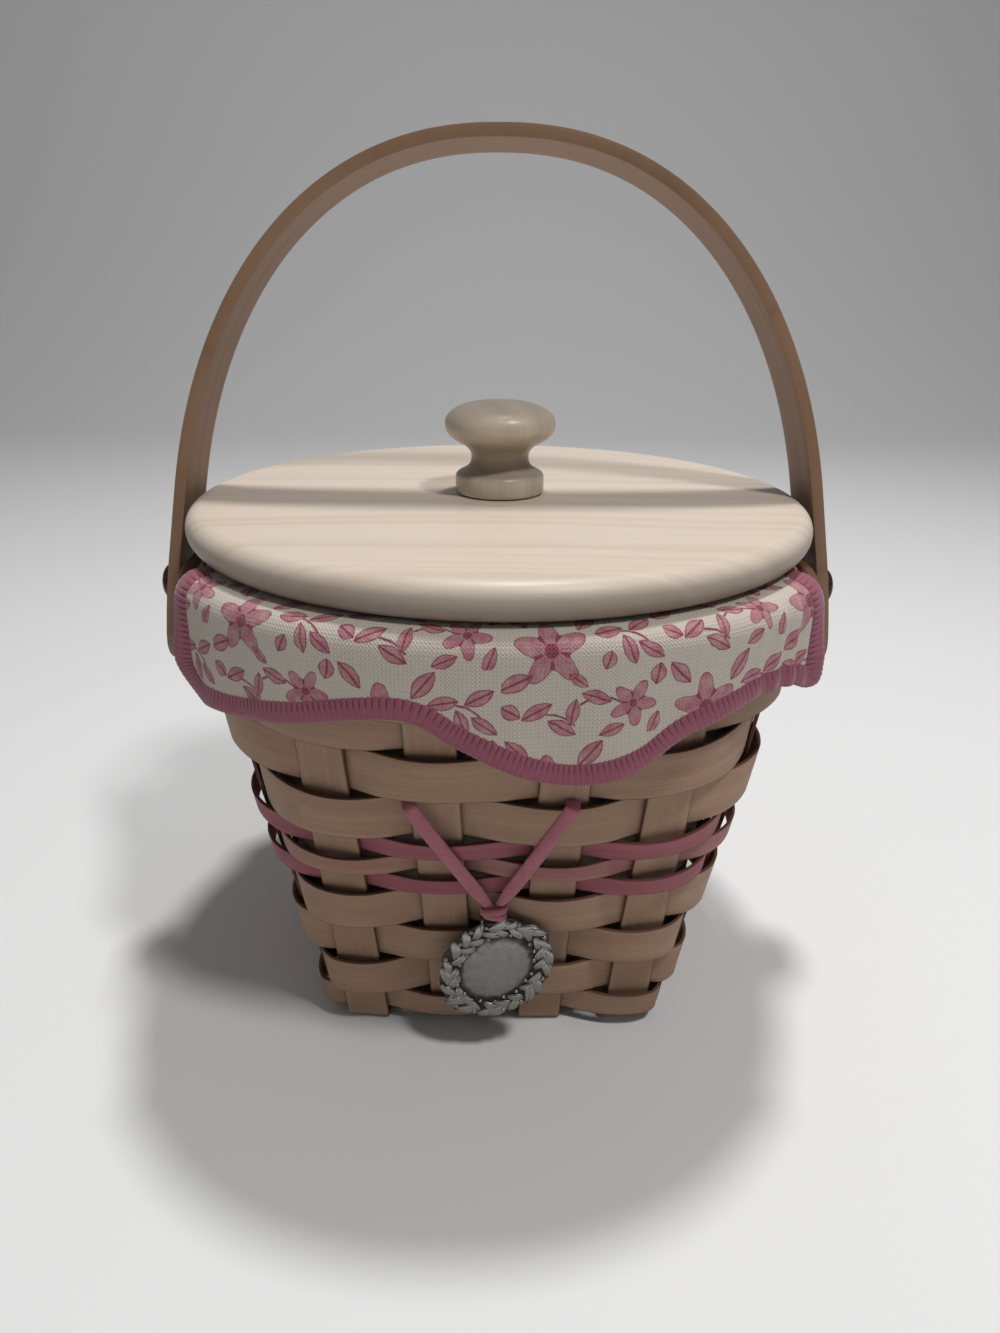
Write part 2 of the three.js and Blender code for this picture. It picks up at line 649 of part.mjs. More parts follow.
// Outer half width of the liner bag at a height: it hangs straight past the rivets and off the weave
function bagHalf(height) {
  const top = innerHoopHalf(SEAT_HEIGHT) - INNER_HOOP_THICKNESS - 2 * CLEAR;
  const pinch = RIVET_INNER_END - CLEAR;
  const rise = Math.min((height - BAG_PINCH_TOP) / (SEAT_HEIGHT - BAG_PINCH_TOP), 1);
  if (rise > 0) return mix(pinch, top, rise);
  const t = Math.min((height - BASE_TOP) / (BAG_PINCH_FOOT - BASE_TOP), 1);
  return Math.min(mix(BASE_HALF - BAG_BASE_INSET, pinch, t), wallHalf(height) - WEAVE_HALF - BAG_SLACK);
}

// Open bag of cloth lining the inside
function linerBag() {
  const steps = 48;
  const floor = BASE_TOP + CLEAR;
  const top = SEAT_HEIGHT + CLEAR + CLOTH;
  const levels = [0.12, 0.32, 0.6, 1].map((t) => mix(floor, BAG_PINCH_FOOT, t)).concat(BAG_PINCH_TOP, top);
  const ringAt = (height, half) => Array.from({ length: steps }, (_, i) => {
    const { point } = sectionAt((i / steps) * 2 * Math.PI, half, squareness(height));
    return new THREE.Vector3(point.x, point.y, height);
  });
  const outside = [floor, ...levels].map((height) => ringAt(height, bagHalf(height)));
  const inside = [floor + CLOTH, ...levels].map((height) => ringAt(height, bagHalf(height) - CLOTH));
  const rings = [...outside, ...inside.reverse()];
  const points = [new THREE.Vector3(0, 0, floor), ...rings.flat(), new THREE.Vector3(0, 0, floor + CLOTH)];
  const last = points.length - 1;
  const triangles = [];
  for (let i = 0; i < steps; i += 1) {
    const k = (i + 1) % steps;
    const lastRing = 1 + (rings.length - 1) * steps;
    triangles.push([0, 1 + k, 1 + i], [last, lastRing + i, lastRing + k]);
    for (let ring = 0; ring < rings.length - 1; ring += 1) {
      const here = 1 + ring * steps;
      const next = here + steps;
      triangles.push([here + i, here + k, next + k], [here + i, next + k, next + i]);
    }
  }
  return closedGeometry(points, triangles);
}

// Section of a valance from the lid seat round its shoulder: cloth middle as half width and height
const VALANCE_SECTION = (() => {
  const seat = SEAT_HEIGHT + CLEAR + CLOTH / 2;
  const seatOut = innerHoopHalf(SEAT_HEIGHT);
  const hang = outerHoopHalf(RIM_HEIGHT) + CLEAR + CLOTH / 2;
  const foot = RIM_HEIGHT - CLOTH;
  const power = 2 / SHOULDER_SQUARENESS;
  const steps = 4;
  const spots = [new THREE.Vector2(seatOut - INNER_HOOP_THICKNESS, seat)];
  for (let i = 0; i <= steps; i += 1) {
    const angle = (i / steps) * Math.PI / 2;
    const out = mix(seatOut + CLEAR, hang, Math.sin(angle) ** power);
    spots.push(new THREE.Vector2(out, mix(foot, seat, Math.cos(angle) ** power)));
  }
  return spots;
})();
// Run of cloth from its inner end to each point of the section
const VALANCE_RUNS = VALANCE_SECTION.slice(1).reduce(
  (runs, spot, i) => [...runs, runs.at(-1) + spot.distanceTo(VALANCE_SECTION[i])],
  [0],
);
const VALANCE_HANG_START = VALANCE_RUNS.at(-1);
const HANG_HALF = VALANCE_SECTION.at(-1).x;
const MM_PER_DEGREE = HANG_HALF * Math.PI / 180;
const EDGE_CURVE = new THREE.SplineCurve(VALANCE_EDGE.map(
  ([share, drop]) => new THREE.Vector2(share * VALANCE_REACH, drop * VALANCE_DROP),
));
const EDGE_POINTS = EDGE_CURVE.getPoints(104);

// Run of cloth from its inner end to the lower edge at an angle from the valance's middle
function valanceRun(degrees) {
  const after = Math.max(EDGE_POINTS.findIndex((spot) => spot.x >= degrees), 1);
  const [from, to] = [EDGE_POINTS[after - 1], EDGE_POINTS[after]];
  const drop = mix(from.y, to.y, (degrees - from.x) / (to.x - from.x));
  return VALANCE_HANG_START + drop + VALANCE_SECTION.at(-1).y - RIM_HEIGHT;
}

// Outward sway of the cloth: soft folds where it hangs, and a flare of its two ends from the shoulder down
function valanceSway(degrees, run) {
  const hung = Math.max(run - VALANCE_HANG_START, 0);
  const turned = Math.max(run - VALANCE_RUNS[1], 0) / (VALANCE_HANG_START - VALANCE_RUNS[1]);
  const turns = FOLD_COUNT * (degrees / VALANCE_REACH + 1) / 2;
  const fold = FOLD_DEPTH * (1 - Math.cos(2 * Math.PI * turns)) / 2;
  const end = Math.max(Math.abs(degrees) / VALANCE_REACH - FLARE_FROM, 0) / (1 - FLARE_FROM);
  return fold * Math.min(hung / VALANCE_DROP, 1) + FLARE_DEPTH * end * end * Math.min(turned, 1);
}

// Point of the cloth, offset along its own normal; turn is 0 for the front valance, 180 for the back
function valancePoint(degrees, run, offset, turn) {
  const isHanging = run > VALANCE_HANG_START;
  const last = VALANCE_RUNS.length - 1;
  const leg = isHanging ? last : Math.max(VALANCE_RUNS.findIndex((end) => end >= run) - 1, 0);
  const along = isHanging
    ? new THREE.Vector2(0, -1)
    : VALANCE_SECTION[leg + 1].clone().sub(VALANCE_SECTION[leg]).normalize();
  const spot = VALANCE_SECTION[leg].clone().addScaledVector(along, run - VALANCE_RUNS[leg]);
  const half = spot.x - along.y * offset + valanceSway(degrees, run);
  const { point } = sectionAt(radians(degrees - 90 + turn), half, SQUARE_AT_RIM);
  return new THREE.Vector3(point.x, point.y, spot.y + along.x * offset);
}

// Cloth of a valance, inside its edging
function valanceCloth(turn) {
  const columns = 40;
  const inset = EDGING_WIDTH + CLEAR;
  const reach = VALANCE_REACH - inset / MM_PER_DEGREE;
  const grid = [];
  for (let i = 0; i <= columns; i += 1) {
    const degrees = mix(-reach, reach, i / columns);
    const slope = (valanceRun(degrees + 1) - valanceRun(degrees - 1)) / (2 * MM_PER_DEGREE);
    const end = valanceRun(degrees) - inset * Math.sqrt(1 + slope * slope) - CLEAR;
    const hang = [0.35, 0.7, 1].map((t) => mix(VALANCE_HANG_START, Math.max(end, VALANCE_HANG_START + 1), t));
    const runs = [...VALANCE_RUNS, ...hang];
    const face = (offset) => runs.map((run) => valancePoint(degrees, run, offset, turn));
    grid.push([...face(CLOTH / 2), ...face(-CLOTH / 2).reverse()]);
  }
  return loft(grid, false);
}

// Outline that the edging follows, as millimetres round the rim and run down the cloth
function edgingLine() {
  const side = VALANCE_REACH * MM_PER_DEGREE;
  const half = EDGING_WIDTH / 2;
  const bottom = EDGE_POINTS.map((spot) => new THREE.Vector2(spot.x * MM_PER_DEGREE, valanceRun(spot.x)));
  const upTo = (end) => [...VALANCE_RUNS, mix(VALANCE_HANG_START, end, 0.4)];
  const outline = [
    ...upTo(bottom[0].y).map((run) => new THREE.Vector2(-side, run)),
    bottom[0],
    ...bottom.filter((spot, i) => i % 2 === 0 && side - Math.abs(spot.x) > EDGING_WIDTH),
    bottom.at(-1),
    ...upTo(bottom.at(-1).y).reverse().map((run) => new THREE.Vector2(side, run)),
  ];
  return outline.map((spot, i) => {
    const before = outline[Math.max(i - 1, 0)];
    const after = outline[Math.min(i + 1, outline.length - 1)];
    const along = after.clone().sub(before).normalize();
    const inwards = new THREE.Vector2(along.y, -along.x);
    return { middle: spot.clone().addScaledVector(inwards, half), inwards };
  });
}

// Sewn edging round a valance's two ends and lower edge, as thin as the cloth under the lid
function valanceEdging(turn) {
  const wide = EDGING_WIDTH / 2;
  const section = [[-1, 0.5], [-0.6, 1], [0.6, 1], [1, 0.5], [1, 0], [-1, 0]];
  const loops = edgingLine().map(({ middle, inwards }) => section.map(([across, lift]) => {
    const spot = middle.clone().addScaledVector(inwards, across * wide);
    const hung = Math.min(Math.max(middle.y - VALANCE_HANG_START, 0) / EDGING_WIDTH, 1);
    const offset = lift * mix(CLOTH, EDGING_THICKNESS, hung) - CLOTH / 2;
    return valancePoint(spot.x / MM_PER_DEGREE, Math.max(spot.y, 0), offset, turn);
  }));
  return loft(loops, false);
}

// Front of the weave at a place: how far it stands out towards -Y
function weaveFront(across, height) {
  const { point } = sidePoint(0, across, wallHalf(height), squareness(height));
  return -point.y + WEAVE_HALF;
}

const LACE_TOP = ROW_BOTTOMS[8];
const KNOT_OUT = weaveFront(KNOT_ACROSS, KNOT_HEIGHT) + CLEAR + KNOT_RADIUS;
const KNOT_PLACE = new THREE.Vector3(KNOT_ACROSS, -KNOT_OUT, KNOT_HEIGHT);

// Flat lace from a gap in the weave down to the knot
function laceStrand(side) {
  const lift = 2 * CLEAR + LACE_THICKNESS / 2;
  const startAcross = side < 0 ? -LACE_SPREAD_LEFT : LACE_SPREAD_RIGHT;
  const start = new THREE.Vector3(startAcross, -weaveFront(startAcross, LACE_TOP) - lift, LACE_TOP);
  const inTo = 0.35;
  const knotTop = KNOT_RADIUS * Math.sqrt(1 - inTo * inTo) + 2 * CLEAR;
  const end = KNOT_PLACE.clone().add(new THREE.Vector3(side * inTo * KNOT_HALF_LENGTH, 0, knotTop));
  const along = end.clone().sub(start).normalize();
  const outward = new THREE.Vector3(0, -1, 0);
  const across = along.clone().cross(outward).normalize();
  const normal = across.clone().cross(along).normalize();
  const wide = LACE_WIDTH / 2;
  const thick = LACE_THICKNESS / 2;
  const edge = LACE_THICKNESS / 4;
  const section = [
    [-wide, -edge], [-wide + edge, -thick], [wide - edge, -thick], [wide, -edge],
    [wide, edge], [wide - edge, thick], [-wide + edge, thick], [-wide, edge],
  ];
  const steps = 6;
  const loops = Array.from({ length: steps + 1 }, (_, i) => section.map(([x, y]) => {
    const narrow = i === steps ? 0.6 : 1;
    return start.clone().lerp(end, i / steps).addScaledVector(across, x * narrow).addScaledVector(normal, y);
  }));
  return loft(loops, false);
}

function knot() {
  return mergedShape(new THREE.SphereGeometry(KNOT_RADIUS, 12, 8)
    .rotateZ(Math.PI / 2)
    .scale(KNOT_HALF_LENGTH / KNOT_RADIUS, 1, 1)
    .translate(KNOT_PLACE.x, KNOT_PLACE.y, KNOT_PLACE.z));
}

// The ring hangs under the tapering end of the knot
const RING_SHARE = (Math.abs(RING_ACROSS - KNOT_ACROSS) - RING_WIRE) / KNOT_HALF_LENGTH;
const KNOT_AT_RING = KNOT_RADIUS * Math.sqrt(1 - RING_SHARE ** 2);
const RING_HEIGHT = KNOT_HEIGHT - KNOT_AT_RING - CLEAR - RING_RADIUS - RING_WIRE;

function charmRing() {
  return new THREE.TorusGeometry(RING_RADIUS, RING_WIRE, 6, 16)
    .rotateY(Math.PI / 2)
    .translate(RING_ACROSS, KNOT_PLACE.y, RING_HEIGHT);
}

// Oval plaque with a raised border drilled for the ring, hanging a little askew
function charm() {
  const half = CHARM_WIDTH / 2;
  const face = CHARM_THICKNESS / 2;
  const border = half - CHARM_BORDER;
  const outline = [
    new THREE.Vector2(0, -face + CHARM_RELIEF), new THREE.Vector2(half - CHARM_RELIEF, -face + CHARM_RELIEF),
    new THREE.Vector2(half, -face + 2 * CHARM_RELIEF), new THREE.Vector2(half, face - CHARM_RELIEF),
    new THREE.Vector2(half - CHARM_RELIEF, face), new THREE.Vector2(border + CHARM_RELIEF, face),
    new THREE.Vector2(border, face - CHARM_RELIEF), new THREE.Vector2(0, face - CHARM_RELIEF),
  ];
  const turn = radians(CHARM_TURN);
  const plaque = turned(outline, 40).rotateX(Math.PI / 2).scale(1, 1, CHARM_HEIGHT / CHARM_WIDTH)
    .rotateY(turn);
  const edgeRise = 1 / Math.hypot(2 * Math.cos(turn) / CHARM_HEIGHT, 2 * Math.sin(turn) / CHARM_WIDTH);
  const holeRise = edgeRise - CHARM_HOLE_MARGIN - CHARM_HOLE;
  const drill = new THREE.CylinderGeometry(CHARM_HOLE, CHARM_HOLE, 2 * CHARM_THICKNESS, 12);
  const hole = drill.translate(0, 0, holeRise);
  const shape = geometryOf(solidOf(plaque).subtract(solidOf(hole)));
  return shape
    .translate(0, CHARM_RELIEF / 2, -holeRise)
    .rotateY(radians(-CHARM_TILT))
    .translate(RING_ACROSS, KNOT_PLACE.y, RING_HEIGHT - RING_RADIUS);
}

function addLiner() {
  addPiece('liner_bag', linerBag(), LINEN);
  [['front', 0], ['back', 180]].forEach(([name, turn]) => {
    addPiece(`valance_${name}`, valanceCloth(turn), LINEN);
    addPiece(`valance_edging_${name}`, valanceEdging(turn), ROSE_THREAD);
  });
}

function addLid() {
  addPiece('lid', lid(), LID_WOOD);
  addPiece('lid_knob', knob(), LID_WOOD);
  addPiece('knob_screw', knobScrew(), STEEL);
}

function addCharm() {
  addPiece('lace_left', laceStrand(-1), ROSE_THREAD);
  addPiece('lace_right', laceStrand(1), ROSE_THREAD);
  addPiece('lace_knot', knot(), ROSE_THREAD);
  addPiece('charm_ring', charmRing(), PEWTER);
  addPiece('charm', charm(), PEWTER);
}

const rivetHole = rivetDrill();
addStakes();
addWeavers(rivetHole);
addHoops(rivetHole);
addPiece('handle', leaning(drilled(handle(), rivetHole)), BENT_WOOD);
addRivet(-1, 'left');
addRivet(1, 'right');
addLiner();
addLid();
addCharm();

export default basket;
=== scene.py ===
# Lined splint basket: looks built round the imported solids. Metres, +Z up, front towards -Y.
import math

import bmesh
import bpy
from mathutils import Matrix, Vector


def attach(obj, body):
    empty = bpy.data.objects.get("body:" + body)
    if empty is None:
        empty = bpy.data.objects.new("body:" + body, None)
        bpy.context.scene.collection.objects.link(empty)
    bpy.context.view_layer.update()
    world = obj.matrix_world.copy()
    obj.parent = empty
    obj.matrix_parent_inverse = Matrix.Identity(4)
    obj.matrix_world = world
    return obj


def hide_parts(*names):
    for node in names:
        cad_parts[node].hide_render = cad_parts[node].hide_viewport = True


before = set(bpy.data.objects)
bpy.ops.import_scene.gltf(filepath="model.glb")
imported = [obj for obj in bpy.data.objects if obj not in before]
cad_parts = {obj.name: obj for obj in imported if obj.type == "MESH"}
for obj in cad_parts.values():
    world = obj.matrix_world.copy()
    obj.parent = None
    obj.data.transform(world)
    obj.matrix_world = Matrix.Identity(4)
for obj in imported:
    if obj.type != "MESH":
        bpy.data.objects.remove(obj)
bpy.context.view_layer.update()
MM = 0.001

# Camera, as solved from the photograph
CAMERA_PLACE = (-0.00202, -0.26522, 0.20985)
CAMERA_PITCH = math.radians(23.05)
CAMERA_ROLL = 0.01
CAMERA_YAW = -0.01
CAMERA_LENS = 32.4
CAMERA_SENSOR = 36
CAMERA_NEAR = 0.01

# Sizes repeated from the part's source, in millimetres
CLEAR = 0.3
BASE_HALF = 51
RIM_HALF = 86.8
LEAN_AT_BASE = 0.12
LEAN_AT_RIM = 0.25
SQUARE_AT_BASE = 12
SQUARE_AT_RIM = 2.2
ROUNDING_RATE = 1.5
STAKE_WIDTH = 12.7
STAKE_THICKNESS = 1
CORNER_MARGIN = 5.3
RIM_INNER_SHARE = 0.196
RIM_OUTER_SHARE = 0.518
BEND_RADIUS = 3.2
WEAVER_THICKNESS = 0.9
FIRST_ROW_HEIGHT = 4.6
ROW_GAP = 0.4
ROW_HEIGHTS = (9.4, 14.2, 14.2, 14.2, 6.6, 6.6, 6.6, 14.2, 14.2, 11.7, 13.9)
OUTER_HOOP_HEIGHT = 14
OUTER_HOOP_THICKNESS = 3
OUTER_HOOP_LEAN = 0.1
INNER_HOOP_THICKNESS = 2.6
INNER_HOOP_LEAN = 0.12
INNER_HOOP_RISE = 7.2
HANDLE_WIDTH = 20.5
HANDLE_THICKNESS = 3.2
HANDLE_ARCH = 138
HANDLE_SPRING_BELOW_RIM = 25.8
HANDLE_SQUARENESS = 2.23
HANDLE_TAIL = 24
HANDLE_LEAN = math.radians(3.5)
HANDLE_SPLAY = 0.1
HANDLE_SPLAY_RISE = 20.2
HANDLE_SPLAY_BEND = 20
RIVET_BELOW_RIM = 10
RIVET_RADIUS = 2.5
RIVET_MARGIN = 1.5
RIVET_HEAD_RADIUS = 5.5
RIVET_HEAD_HEIGHT = 3.2
RIVET_PEEN_RADIUS = 3.6
RIVET_PEEN_HEIGHT = 0.9
BURR_RADIUS = 5
BURR_THICKNESS = 0.9
SPACER_RADIUS = 6
SPACER_THICKNESS = 2.2
LID_OVERHANG = 5.55
LID_THICKNESS = 9.7
KNOB_RADIUS = 15.9
KNOB_HEIGHT = 26
KNOB_BROW = 19.6
KNOB_NECK_RADIUS = 8.3
KNOB_NECK_HEIGHT = 10.2
KNOB_FOOT_RADIUS = 12.9
KNOB_FOOT_HEIGHT = 4.6
SCREW_RADIUS = 2
SCREW_HEAD_RADIUS = 4
SCREW_HEAD_HEIGHT = 2.4
SCREW_BITE = 12
CLOTH = 0.8
BAG_BASE_INSET = 3.6
BAG_SLACK = 1.2
VALANCE_REACH = 55
SHOULDER_SQUARENESS = 3
EDGING_WIDTH = 4.2
EDGING_THICKNESS = 1.6
FOLD_DEPTH = 1.5
FOLD_COUNT = 7
VALANCE_DROP = 27
VALANCE_EDGE = (
    (-1, 0.8), (-0.92, 0.79), (-0.82, 0.77), (-0.72, 0.74), (-0.51, 0.6), (-0.25, 0.44), (-0.1, 0.68),
    (0.14, 1), (0.35, 0.91), (0.5, 0.65), (0.72, 0.5), (0.85, 0.53), (0.94, 0.65), (1, 0.74),
)
LACE_WIDTH = 4
LACE_THICKNESS = 1
LACE_SPREAD = {-1: -22.4, 1: 18.6}
KNOT_HEIGHT = 52.9
KNOT_ACROSS = -1
KNOT_HALF_LENGTH = 3.8
KNOT_RADIUS = 2.1
RING_RADIUS = 1.9
RING_WIRE = 0.4
RING_ACROSS = -4.2
CHARM_WIDTH = 29.4
CHARM_HEIGHT = 36.5
CHARM_TURN = math.radians(52)
CHARM_TILT = math.radians(16)
CHARM_HOLE = 0.9
CHARM_HOLE_MARGIN = 0.9

# Sizes in millimetres, and counts, that only the looks need
CORNER_ROUND = {-1: 12, 1: 5}
END_FLARE = {-1: 3.8, 1: 3.8}
END_CURL = 10
END_DROP = 9
END_SLANT = 8
END_SLANT_REACH = 25
CREASE_DEPTH = 0.5
STITCH_PITCH = 1.4
CLOTH_LOOK = 0.55
CANVAS_PITCH = 0.9
EDGING_LOOK = 5.5
ROW_OUT = 2.8
ROW_IN = 1.9
RIM_ROW_LIFT = 1.3
ROW_TRIM = 0.6
ROW_UPRIGHT = 0.12
FIRST_RIM_ROW = 10
ROW_SWAY = 0.75
SWAY_START = 10
SWAY_END = 108
STAKE_EDGE_PHASE = math.radians(38)
STAKE_STEPS = 6
GAP_STEPS = 7
CORNER_STEPS = 12
UPRIGHT_STEP = 4
EDGE_SEGMENTS = 2
EDGE_ANGLE = math.radians(50)
SPLINT_EDGE = 0.2
HOOP_EDGE = 0.6
HANDLE_EDGE = 0.8
HANDLE_TIP_RISES = (0.02, 0.25, 0.8, 1.8, 3.2, 5, 7)
RIVET_LIP = 0.5
RIVET_EDGE = 0.2
BURR_EDGE = 0.2
SPACER_EDGE = 0.4
METAL_SHARP = 40
WOOD_SHARP = 50
BAG_SIDE_CELLS = 32
BAG_CREASE = 2.4
BAG_RUCK = 0.35
BAG_PRINT_RADIUS = 78
EDGING_OVERLAP = 0.3 * EDGING_WIDTH
STITCH_STEPS = 6
EDGING_LIFT = 0.2
LACE_TUCK = 3.6
LACE_TUCK_RATE = 30
LACE_BOW = 0.9
LACE_PINCH = 0.35
LACE_CUP = 0.25
LACE_CUP_SHARE = {-1: 1, 1: -0.6}
STRAND_HALF = 0.75
STRAND_RISE = 1.25
LEAF_GROOVE = 0.4
LEAF_GROOVE_WIDTH = 0.28
WREATH_COUNT = 20
HOLLOW_START = 0.75
HOLLOW_REACH = 0.9

# Turns of the knot: height, lean and reach of each
KNOT_TURNS = ((0.75, 0.16, 1.0), (-0.75, -0.2, 0.92))

# Section of the charm from its face's middle to its back's: share of the half width, and lift
CHARM_RINGS = (
    (0, 0.5), (0.25, 0.48), (0.45, 0.42), (0.56, 0.32), (0.6, 0.1), (0.66, -0.05), (0.8, -0.05), (0.9, 0.02),
    (0.955, 0.05), (0.98, -0.05), (0.985, -0.35), (0.96, -0.6), (0.9, -0.72), (0.5, -0.75), (0, -0.75),
)

# Print of the cloth, in millimetres about the middle of one repeat
TILE_WIDTH = 36
TILE_HEIGHT = 32

# Flowers: middle, radius and turn
FLOWERS = (((-7.5, 4), 8.4, 0.4), ((10.5, -8.6), 5.8, 1.1))

# Leaves and buds: middle, turn, length and width
LEAVES = (
    ((-15, -3), 3.6, 8.6, 4.4), ((1.4, 12), 0.9, 8.8, 4.3), ((-14.6, 13), 2.3, 8, 4),
    ((5.6, 8), 0.2, 7.4, 3.7), ((9.6, 3.6), 1.9, 7.2, 3.5),
    ((13.4, 9.6), 0.5, 7.8, 3.8), ((14.4, 3.2), -0.6, 7.2, 3.4),
    ((2.4, -6.6), 2.8, 7.2, 3.6), ((-10.4, -9.6), 0.5, 8, 3.8), ((-5, -13.6), -0.5, 7.6, 3.6),
    ((-2.6, -10), 1.4, 6.8, 3.3), ((-1.6, -2.6), 2.5, 5.6, 2.8), ((6, -14.4), 0.4, 6.4, 3.2),
    ((15.6, -14), 1.2, 6.4, 3.1),
)
BUDS = (((16, -2.4), 1.4, 5.4, 4.2), ((-16, -9.6), 2.6, 5.2, 4.1), ((4.8, 1.6), 1.2, 4.6, 3.6))

# Stems: middle of the bend, radius, first and last angle, and width
STEMS = (
    ((6.8, -1.8), 9.8, 0.5, 1.9, 0.8), ((-9, -19.4), 9.2, 0.7, 1.9, 0.8), ((3.4, -14.8), 8, 0.9, 2.2, 0.8),
)

# Stage, in metres and watts
FLOOR_HALF_WIDTH = 3
FLOOR_HALF_LENGTH = 2.6
FLOOR_SHIFT = 0.6
SWEEP_START = 1.1
SWEEP_RADIUS = 0.6
SWEEP_ARC = 0.94
LAMP_TARGET = (0, 0, 0.1)
OVERHEAD_PLACE = (0.1, 0.2, 1.25)
OVERHEAD_SIZE = 0.14
OVERHEAD_POWER = 8.5
FRONT_PLACE = (0.4, -0.5, 1.2)
FRONT_SIZE = 0.16
FRONT_POWER = 6.5
ROOM_STRENGTH = 0.17

# Distance at which points of a mesh are one, in metres
WELD = 1e-6
BAG_WELD = 2e-6

# Values worked out from the ones above
HOLE_RADIUS = RIVET_RADIUS + CLEAR
ROW_BOTTOMS = [FIRST_ROW_HEIGHT + sum(ROW_HEIGHTS[:row]) + row * ROW_GAP for row in range(len(ROW_HEIGHTS))]
RIM_HEIGHT = ROW_BOTTOMS[-1] + ROW_HEIGHTS[-1] + ROW_GAP
BASE_PITCH = (BASE_HALF - CORNER_MARGIN - STAKE_WIDTH / 2) / 1.5
WEAVE_LIFT = STAKE_THICKNESS / 2 + CLEAR + WEAVER_THICKNESS / 2
WEAVE_HALF = WEAVE_LIFT + WEAVER_THICKNESS / 2
RIVET_HEIGHT = RIM_HEIGHT - RIVET_BELOW_RIM
BASE_TOP = 2 * STAKE_THICKNESS + CLEAR
SEAT_HEIGHT = RIM_HEIGHT + INNER_HOOP_RISE
LID_BOTTOM = SEAT_HEIGHT + CLOTH + 2 * CLEAR
LID_TOP = LID_BOTTOM + LID_THICKNESS
INNER_HOOP_FOOT = RIVET_HEIGHT - HOLE_RADIUS - RIVET_MARGIN
HANDLE_SPRING = RIM_HEIGHT - HANDLE_SPRING_BELOW_RIM

# Colours under plain light; the lid's edge and the knob's neck are set darker than the wood itself, as
# painted shade
NATURAL = (0.385, 0.245, 0.165, 1)
NATURAL_DARK = (0.22, 0.13, 0.085, 1)
ROSE = (0.33, 0.105, 0.125, 1)
ROSE_DARK = (0.17, 0.045, 0.06, 1)
BLUSH_LEFT = (0.36, 0.2, 0.145, 1)
BLUSH = (0.36, 0.15, 0.145, 1)
BLUSH_DARK = (0.22, 0.1, 0.08, 1)
CUT_EDGE = (0.085, 0.032, 0.017, 1)
BENT = (0.295, 0.175, 0.106, 1)
BENT_DARK = (0.2, 0.105, 0.058, 1)
PALE = (0.66, 0.565, 0.475, 1)
PALE_DARK = (0.54, 0.435, 0.34, 1)
# Painted shade for the lid's edge and underside
LID_EDGE_PAINTED_SHADE = (0.22, 0.172, 0.132, 1)
KNOB = (0.6, 0.52, 0.42, 1)
KNOB_DARK = (0.43, 0.35, 0.265, 1)
# Painted shade for the knob's neck, under its cap
KNOB_NECK_PAINTED_SHADE = (0.27, 0.205, 0.15, 1)
CREAM = (0.58, 0.515, 0.44, 1)
# Painted shade for the cloth's reverse, seen through the weave's gaps
REVERSE_PAINTED_SHADE = (0.2, 0.16, 0.125, 1)
PRINT_WASH = (0.41, 0.11, 0.165, 1)
PRINT_INK = (0.22, 0.03, 0.068, 1)
THREAD = (0.29, 0.073, 0.113, 1)
# Darker thread for single strands, and painted shade in the slots between stitches
THREAD_DARK_AND_SLOT_SHADE = (0.11, 0.025, 0.038, 1)
LACE = (0.4, 0.115, 0.15, 1)
LACE_DARK = (0.25, 0.06, 0.085, 1)
BRONZE = (0.075, 0.038, 0.025, 1)
BRONZE_WORN = (0.2, 0.11, 0.07, 1)
PEWTER = (0.32, 0.305, 0.285, 1)
PEWTER_DARK = (0.035, 0.031, 0.028, 1)
STEEL = (0.55, 0.56, 0.57, 1)
FLOOR = (0.8, 0.8, 0.8, 1)
FLOOR_DARK = (0.7, 0.7, 0.7, 1)
SPLINTS = {
    "ash_splint": (NATURAL, NATURAL_DARK),
    "rose_splint": (ROSE, ROSE_DARK),
    "blush_splint": (BLUSH_LEFT, BLUSH_DARK),
}

# Rows of the weave from the foot up
ROWS = (
    ("foot", "ash_splint"), ("lower_1", "ash_splint"), ("lower_2", "ash_splint"), ("lower_3", "ash_splint"),
    ("rose_1", "rose_splint"), ("blush", "blush_splint"), ("rose_2", "rose_splint"),
    ("upper_1", "ash_splint"), ("upper_2", "ash_splint"), ("under_rim", "ash_splint"), ("rim", "ash_splint"),
)


def mix(low, high, share):
    return low + (high - low) * share


def clamp(value):
    return min(max(value, 0), 1)


def ease(value):
    t = clamp(value)
    return t * t * (3 - 2 * t)


def tint(colour, factor):
    return tuple(min(value * factor, 1) for value in colour[:3]) + (1,)


# Length of a line from its start to each of its points
def running_lengths(points):
    lengths = [0.0]
    for before, after in zip(points, points[1:]):
        lengths.append(lengths[-1] + (after - before).length)
    return lengths


# Camera at the photograph's place
def add_camera():
    right = Vector((1, 0, 0))
    ahead = Vector((0, math.cos(CAMERA_PITCH), -math.sin(CAMERA_PITCH)))
    up = Vector((0, math.sin(CAMERA_PITCH), math.cos(CAMERA_PITCH)))
    rolled_right = math.cos(CAMERA_ROLL) * right + math.sin(CAMERA_ROLL) * up
    rolled_up = math.cos(CAMERA_ROLL) * up - math.sin(CAMERA_ROLL) * right
    turn = Matrix.Rotation(CAMERA_YAW, 3, "Z")
    axes = Matrix((turn @ rolled_right, turn @ rolled_up, turn @ -ahead)).transposed()
    lens = bpy.data.cameras.new("photograph_camera")
    lens.sensor_fit = "HORIZONTAL"
    lens.sensor_width = CAMERA_SENSOR
    lens.lens = CAMERA_LENS
    lens.clip_start = CAMERA_NEAR
    camera = bpy.data.objects.new("photograph_camera", lens)
    bpy.context.scene.collection.objects.link(camera)
    camera.matrix_world = Matrix.Translation(CAMERA_PLACE) @ axes.to_4x4()
    bpy.context.scene.camera = camera


